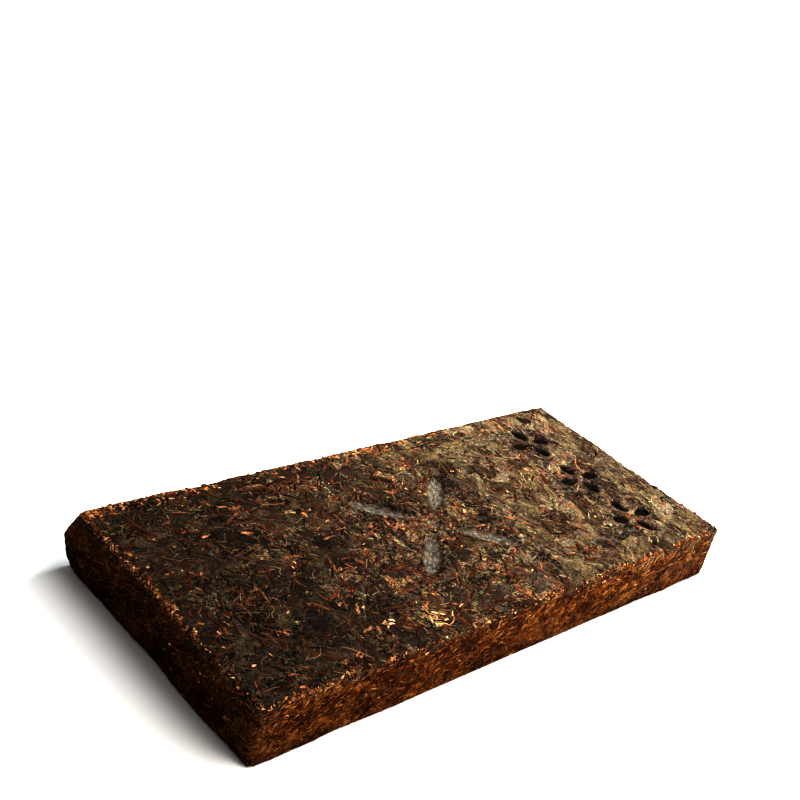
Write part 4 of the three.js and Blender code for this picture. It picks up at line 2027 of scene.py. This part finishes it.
@dataclass
class Crumbs(LaidKind):
    """Crumbs of torn leaf: thick along the upper arris, thinner over the sides and the top, at any tilt."""

    band: float = 0.0013
    tilt: float = 0.3
    stray: float = 0.0015
    clump_base: float = 0.3
    left_share: float = 1.4
    left_band: Range = (-0.08, -0.16)
    front_share: float = -0.5
    front_edge: float = -0.07
    front_band: Range = (-0.16, -0.12)
    edges: tuple[ChippedEdge, ...] = (
        ChippedEdge(BACK_LEFT, TO_RIGHT, TO_FRONT, 300, 0.25, 1.8, (0.2, 0.8), 0.0042),
        ChippedEdge(BACK_LEFT, TO_FRONT, TO_RIGHT, 70, 0.12, 1.5, (0.15, 0.7), 0.0028),
        ChippedEdge(FRONT_RIGHT, TO_BACK, TO_LEFT, 150, 0.152, 1.0, (0.0, 0.5), 0.0009),
        ChippedEdge(FRONT_RIGHT, TO_LEFT, TO_BACK, 110, 0.12, 1.2, (0.0, 0.5), 0.0009),
    )

    def model(self) -> Template:
        """Models the piece that is repeated."""
        return Template.crumb()

    def weights(self, surface: Surface, zone: Zone) -> Array:
        """How likely each triangle is to hold a crumb.

        Args:
            surface: The core's surface.
            zone: The zone that the crumbs lie in.

        Returns:
            A weight for each triangle.
        """
        inset, depth = SLAB.from_arris(surface.centres)
        near = np.exp(-((inset / self.band) ** 2) - (depth / self.band) ** 2)
        x, y = surface.centres[:, 0], surface.centres[:, 1]
        wave = np.sin(x / 0.006 + 1.3 * np.sin(y / 0.007)) * np.sin(y / 0.005 + x / 0.017)
        clump = self.clump_base + np.maximum(wave, 0.0)
        clump *= 1.0 + self.left_share * smooth_step(*self.left_band, x)
        clump *= 1.0 + self.front_share * (y < self.front_edge) * smooth_step(*self.front_band, x)
        return super().weights(surface, zone) * (near * clump + self.stray)

    def lays(self, surface: Surface, rng: Chance) -> list[Lay]:
        """Where the pieces lie: zone by zone, then the larger chips along the edges."""
        return [*super().lays(surface, rng), *(edge.lay(rng, self.thickness) for edge in self.edges)]

    def spread(self, surface: Surface, lay: Lay, rng: Chance) -> Array:
        """Turns a copy of the template freely for each piece.

        Args:
            surface: The core's surface.
            lay: Where the pieces lie.
            rng: The seeded generator.

        Returns:
            The copies' points, by point of the template and piece.
        """
        spots, ups = surface.nearest(lay.places)
        ups = unit(ups + rng.normal(0.0, self.tilt, ups.shape))
        alongs = flattened(lay.headings, ups)
        asides = np.cross(ups, alongs)
        points = np.empty((len(self.template.points), len(spots), 3))
        for k, (along, across, height) in enumerate(self.template.points):
            worn = self.worn(rng, (2, len(spots)))
            points[k] = spots + alongs * column(along * lay.lengths * worn[0])
            points[k] += asides * column(across * lay.widths * worn[1])
            points[k] += ups * column(height * lay.thicknesses + lay.lifts)
        return points


DARK_LEAF = SkinFinish(
    name="dark_leaf",
    stops=((0.0, "100905"), (0.4, "1c130b"), (0.75, "2d2217"), (1.0, "4a3b29")),
    hues=PALE_HUES,
)
OLIVE_LEAF = SkinFinish(
    name="olive_leaf",
    stops=((0.0, "2a2018"), (0.45, "483c2e"), (0.8, "71644c"), (1.0, "a4976f")),
    hues=PALE_HUES,
)
# The top's shreds take the first half of the row, the sides' the second
BROWN_LEAF = SkinFinish(
    name="brown_leaf",
    stops=(
        (0.0, "2b170d"), (0.2, "4c2d1c"), (0.42, "825c48"),
        (0.5, "4a260e"), (0.75, "895627"), (1.0, "cba069"),
    ),
)
BROAD_LEAF = SkinFinish(
    name="broad_leaf",
    stops=((0.0, "17110d"), (0.25, "2b231b"), (0.5, "40372b"), (0.75, "4f4639"), (1.0, "605847")),
    hues=PALE_HUES,
    veins=0.2,
    streak_depth=0.4,
    edge_shade=0.3,
    mottle=0.4,
    fleck=0.45,
)
RUST_CHIP = SkinFinish(
    name="rust_chip",
    stops=((0.0, "2c180f"), (0.4, "482c1e"), (0.75, "744f39"), (1.0, "b88e68")),
    streak_depth=0.9,
    edge_shade=0.3,
    mottle=0.7,
    fleck=0.6,
)
STALK_BARK = SkinFinish(
    name="stalk_bark",
    stops=((0.0, "2b170d"), (0.45, "4c2f20"), (0.8, "6e4a34"), (1.0, "987253")),
    streaks=9.0,
)
DRY_STRAW = SkinFinish(
    name="dry_straw",
    stops=((0.0, "4a3322"), (0.5, "765638"), (0.85, "a8815c"), (1.0, "cca785")),
    streaks=3.0,
)
TORN_EDGE = SkinFinish(
    name="torn_edge",
    stops=((0.0, "2c170b"), (0.4, "693f24"), (0.75, "a8764e"), (1.0, "d8ae84")),
    mottle=0.4,
)


def laid_kinds() -> list[LaidKind]:
    """The kinds of piece that lie over the core, in the order they are made."""
    return [
        Leaves(
            name="broad_leaves", slot="pressed_leaf", finish=BROAD_LEAF, seed=14,
            counts={Zone.TOP: 380, Zone.UNDER: 250}, length=(0.009, 0.034), width=(0.004, 0.013),
            thickness=(0.0001, 0.00026), lift=(-0.00008, 0.00012), ragged=0.42, ruffle=0.35,
            top_tints=(0.06, 1.0), paler_end=0.68, right_share=0.7, patchy=0.6, patchy_tint=0.55,
        ),
        Chips(
            name="rust_chips", slot="pressed_leaf", finish=RUST_CHIP, seed=18,
            counts={Zone.TOP: 540, Zone.SIDE: 40, Zone.UNDER: 80}, length=(0.0024, 0.016),
            width=(0.0007, 0.0024), thickness=(0.0001, 0.0003), lift=(-0.00005, 0.0001), bend=0.3,
            ragged=0.5, ruffle=0.4, size_power=2.4, small_pale=0.5, tint_power=1.25, paler_end=0.0,
            right_share=-0.8, patchy=0.9,
        ),
        LaidKind(
            name="dark_shreds", slot="pressed_leaf", finish=DARK_LEAF, seed=11,
            counts={Zone.TOP: 900, Zone.UNDER: 600}, length=(0.003, 0.012), width=(0.0005, 0.0017),
            thickness=(0.00008, 0.00018), lift=(-0.00008, 0.00008), ragged=0.35, right_share=-0.6,
            patchy=0.5,
        ),
        LaidKind(
            name="olive_shreds", slot="pressed_leaf", finish=OLIVE_LEAF, seed=12,
            counts={Zone.TOP: 3000, Zone.UNDER: 900}, length=(0.0015, 0.009), width=(0.0002, 0.0008),
            thickness=(0.00008, 0.00016), lift=(-0.00008, 0.00008), bend=0.5, wander=0.15, ragged=0.35,
            tint_power=0.95, paler_end=0.2, patchy=0.8,
        ),
        LaidKind(
            name="brown_shreds", slot="pressed_leaf", finish=BROWN_LEAF, seed=13,
            counts={Zone.TOP: 360, Zone.SIDE: 7400, Zone.UNDER: 1000}, length=(0.001, 0.009),
            width=(0.0003, 0.001), thickness=(0.00008, 0.0002), lift=(-0.00008, 0.0001), ragged=0.4,
            tint_power=1.3, top_tints=(0.0, 0.4), side_tints=(0.5, 1.0), side_scale=0.62, paler_end=0.2,
            right_share=-0.9, patchy=0.8,
        ),
        Stalks(
            name="red_stalks", slot="stalk", finish=STALK_BARK, seed=15,
            counts={Zone.TOP: 190, Zone.SIDE: 160, Zone.UNDER: 90}, length=(0.003, 0.017),
            width=(0.0004, 0.0014), thickness=(0.00015, 0.0003), lift=(-0.00015, 0.0001), bend=0.25,
            wander=0.06, ragged=0.25, size_power=2.2, tint_power=1.2, side_scale=0.7, paler_end=0.1,
            right_share=-0.65, patchy=0.6,
        ),
        Fibres(
            name="straw_fibres", slot="straw", finish=DRY_STRAW, seed=16,
            counts={Zone.TOP: 620, Zone.SIDE: 320, Zone.UNDER: 120}, length=(0.002, 0.019),
            width=(0.00016, 0.0004), thickness=(0.0001, 0.00022), lift=(-0.00005, 0.00012), bend=0.9,
            wander=0.15, ragged=0.1, tint_power=1.4, top_tints=(0.0, 0.85), side_tints=(0.0, 0.7),
            side_scale=0.5, paler_end=0.15, right_share=-0.5, in_hollows=0.03, patchy=0.7,
        ),
        Crumbs(
            name="edge_crumbs", slot="straw", finish=TORN_EDGE, seed=17,
            counts={Zone.TOP: 1600, Zone.SIDE: 1200, Zone.UNDER: 80}, length=(0.0006, 0.0028),
            width=(0.0004, 0.0012), thickness=(0.00012, 0.0003), lift=(-0.00015, 0.00008), ragged=0.35,
            tint_power=1.5, low_side_shade=1.0, paler_end=0.0,
        ),
    ]


@dataclass(frozen=True)
class SoftBox:
    """A soft studio lamp: a panel that faces a point."""

    name: str
    place: Triple
    aim: Triple
    width: float
    height: float
    watts: float
    colour: Triple

    def build(self) -> None:
        """Hangs the lamp."""
        lamp = bpy.data.lights.new(self.name, "AREA")
        lamp.shape = "RECTANGLE"
        lamp.size = self.width
        lamp.size_y = self.height
        lamp.energy = self.watts
        lamp.color = self.colour
        hung = bpy.data.objects.new(self.name, lamp)
        hung.location = self.place
        hung.rotation_euler = (Vector(self.aim) - Vector(self.place)).to_track_quat("-Z", "Y").to_euler()
        hung.visible_camera = False
        bpy.context.scene.collection.objects.link(hung)


@dataclass(frozen=True)
class Viewpoint:
    """The camera: where it aims, from which side and how far, its roll and its lens."""

    aim: Triple = (0.1034, 0.1337, 0.0167)
    azimuth: float = -49.09
    elevation: float = 26.25
    roll: float = 15.74
    distance: float = 0.814
    lens: float = 54.78
    nearest: float = 0.01

    def build(self) -> None:
        """Sets the camera up."""
        turn, rise, roll = (math.radians(angle) for angle in (self.azimuth, self.elevation, self.roll))
        back = Vector((math.sin(turn) * math.cos(rise), -math.cos(turn) * math.cos(rise), math.sin(rise)))
        level_right = Vector(UP).cross(back).normalized()
        right = level_right * math.cos(roll) + back.cross(level_right) * math.sin(roll)
        lens = bpy.data.cameras.new("camera")
        lens.lens = self.lens
        lens.clip_start = self.nearest
        camera = bpy.data.objects.new("camera", lens)
        camera.matrix_world = Matrix((right, back.cross(right), back)).transposed().to_4x4()
        camera.location = Vector(self.aim) + back * self.distance
        bpy.context.scene.collection.objects.link(camera)
        bpy.context.scene.camera = camera


@dataclass
class Studio:
    """The pale floor, the soft lights and the sky, and the contrast that they are shown with."""

    floor_size: float = 30.0
    floor_drop: float = 0.0002
    floor_colour: str = "f7f6f4"
    floor_roughness: float = 0.9
    floor_shine: float = 0.1
    sky_colour: str = "ffffff"
    sky_strength: float = 0.32
    sun_strength: float = 4.2
    sun_angle: float = 45.0
    sun_from: Triple = (0.45, -0.5, 0.8)
    contrast: float = 0.64
    lamps: tuple[SoftBox, ...] = (
        SoftBox("key", (0.16, 0.02, 0.30), (0.02, 0.0, 0.03), 0.28, 0.16, 4.4, (0.92, 1.0, 1.0)),
        SoftBox("front", (0.05, -0.70, 0.14), (0.0, -0.08, 0.02), 0.5, 0.2, 4.5, (1.0, 0.9, 0.75)),
    )

    def build(self) -> None:
        """Builds the floor, the sky and the lights, and sets how they show."""
        self.lay_floor()
        self.hang_sky()
        for lamp in self.lamps:
            lamp.build()
        sun = bpy.data.lights.new("sun", "SUN")
        sun.energy = self.sun_strength
        sun.angle = math.radians(self.sun_angle)
        hung = bpy.data.objects.new("sun", sun)
        hung.rotation_euler = Vector(self.sun_from).to_track_quat("Z", "Y").to_euler()
        bpy.context.scene.collection.objects.link(hung)
        shown = bpy.context.scene.view_settings
        shown.view_transform = "Standard"
        shown.gamma = self.contrast

    def lay_floor(self) -> None:
        """Lays the floor just under the brick."""
        Bench.clear()
        bpy.ops.mesh.primitive_plane_add(size=self.floor_size, location=(0.0, 0.0, -self.floor_drop))
        floor = bpy.context.object
        floor.name = "floor"
        finish = Shader("pale_floor").dress(paint(self.floor_colour), self.floor_roughness, self.floor_shine)
        floor.data.materials.append(finish)

    def hang_sky(self) -> None:
        """Makes a dim, even sky."""
        world = bpy.data.worlds.new("sky")
        bpy.context.scene.world = world
        world.use_nodes = True
        ground = world.node_tree.nodes["Background"]
        ground.inputs["Color"].default_value = paint(self.sky_colour)
        ground.inputs["Strength"].default_value = self.sky_strength


def main() -> None:
    """Builds the studio, the core and every kind of piece that lies over it."""
    logging.basicConfig(level=logging.INFO, format="%(message)s")
    Viewpoint().build()
    Studio().build()
    core = Core().build()
    LOG.info("%s: %d faces", core.name, len(core.data.polygons))
    surface = Surface(core)
    for kind in laid_kinds():
        piece = kind.build(surface)
        LOG.info("%s: %d triangles", piece.name, len(piece.data.polygons))
        if isinstance(kind, Leaves):
            surface.lie_over(piece)


if __name__ == "__main__":
    main()
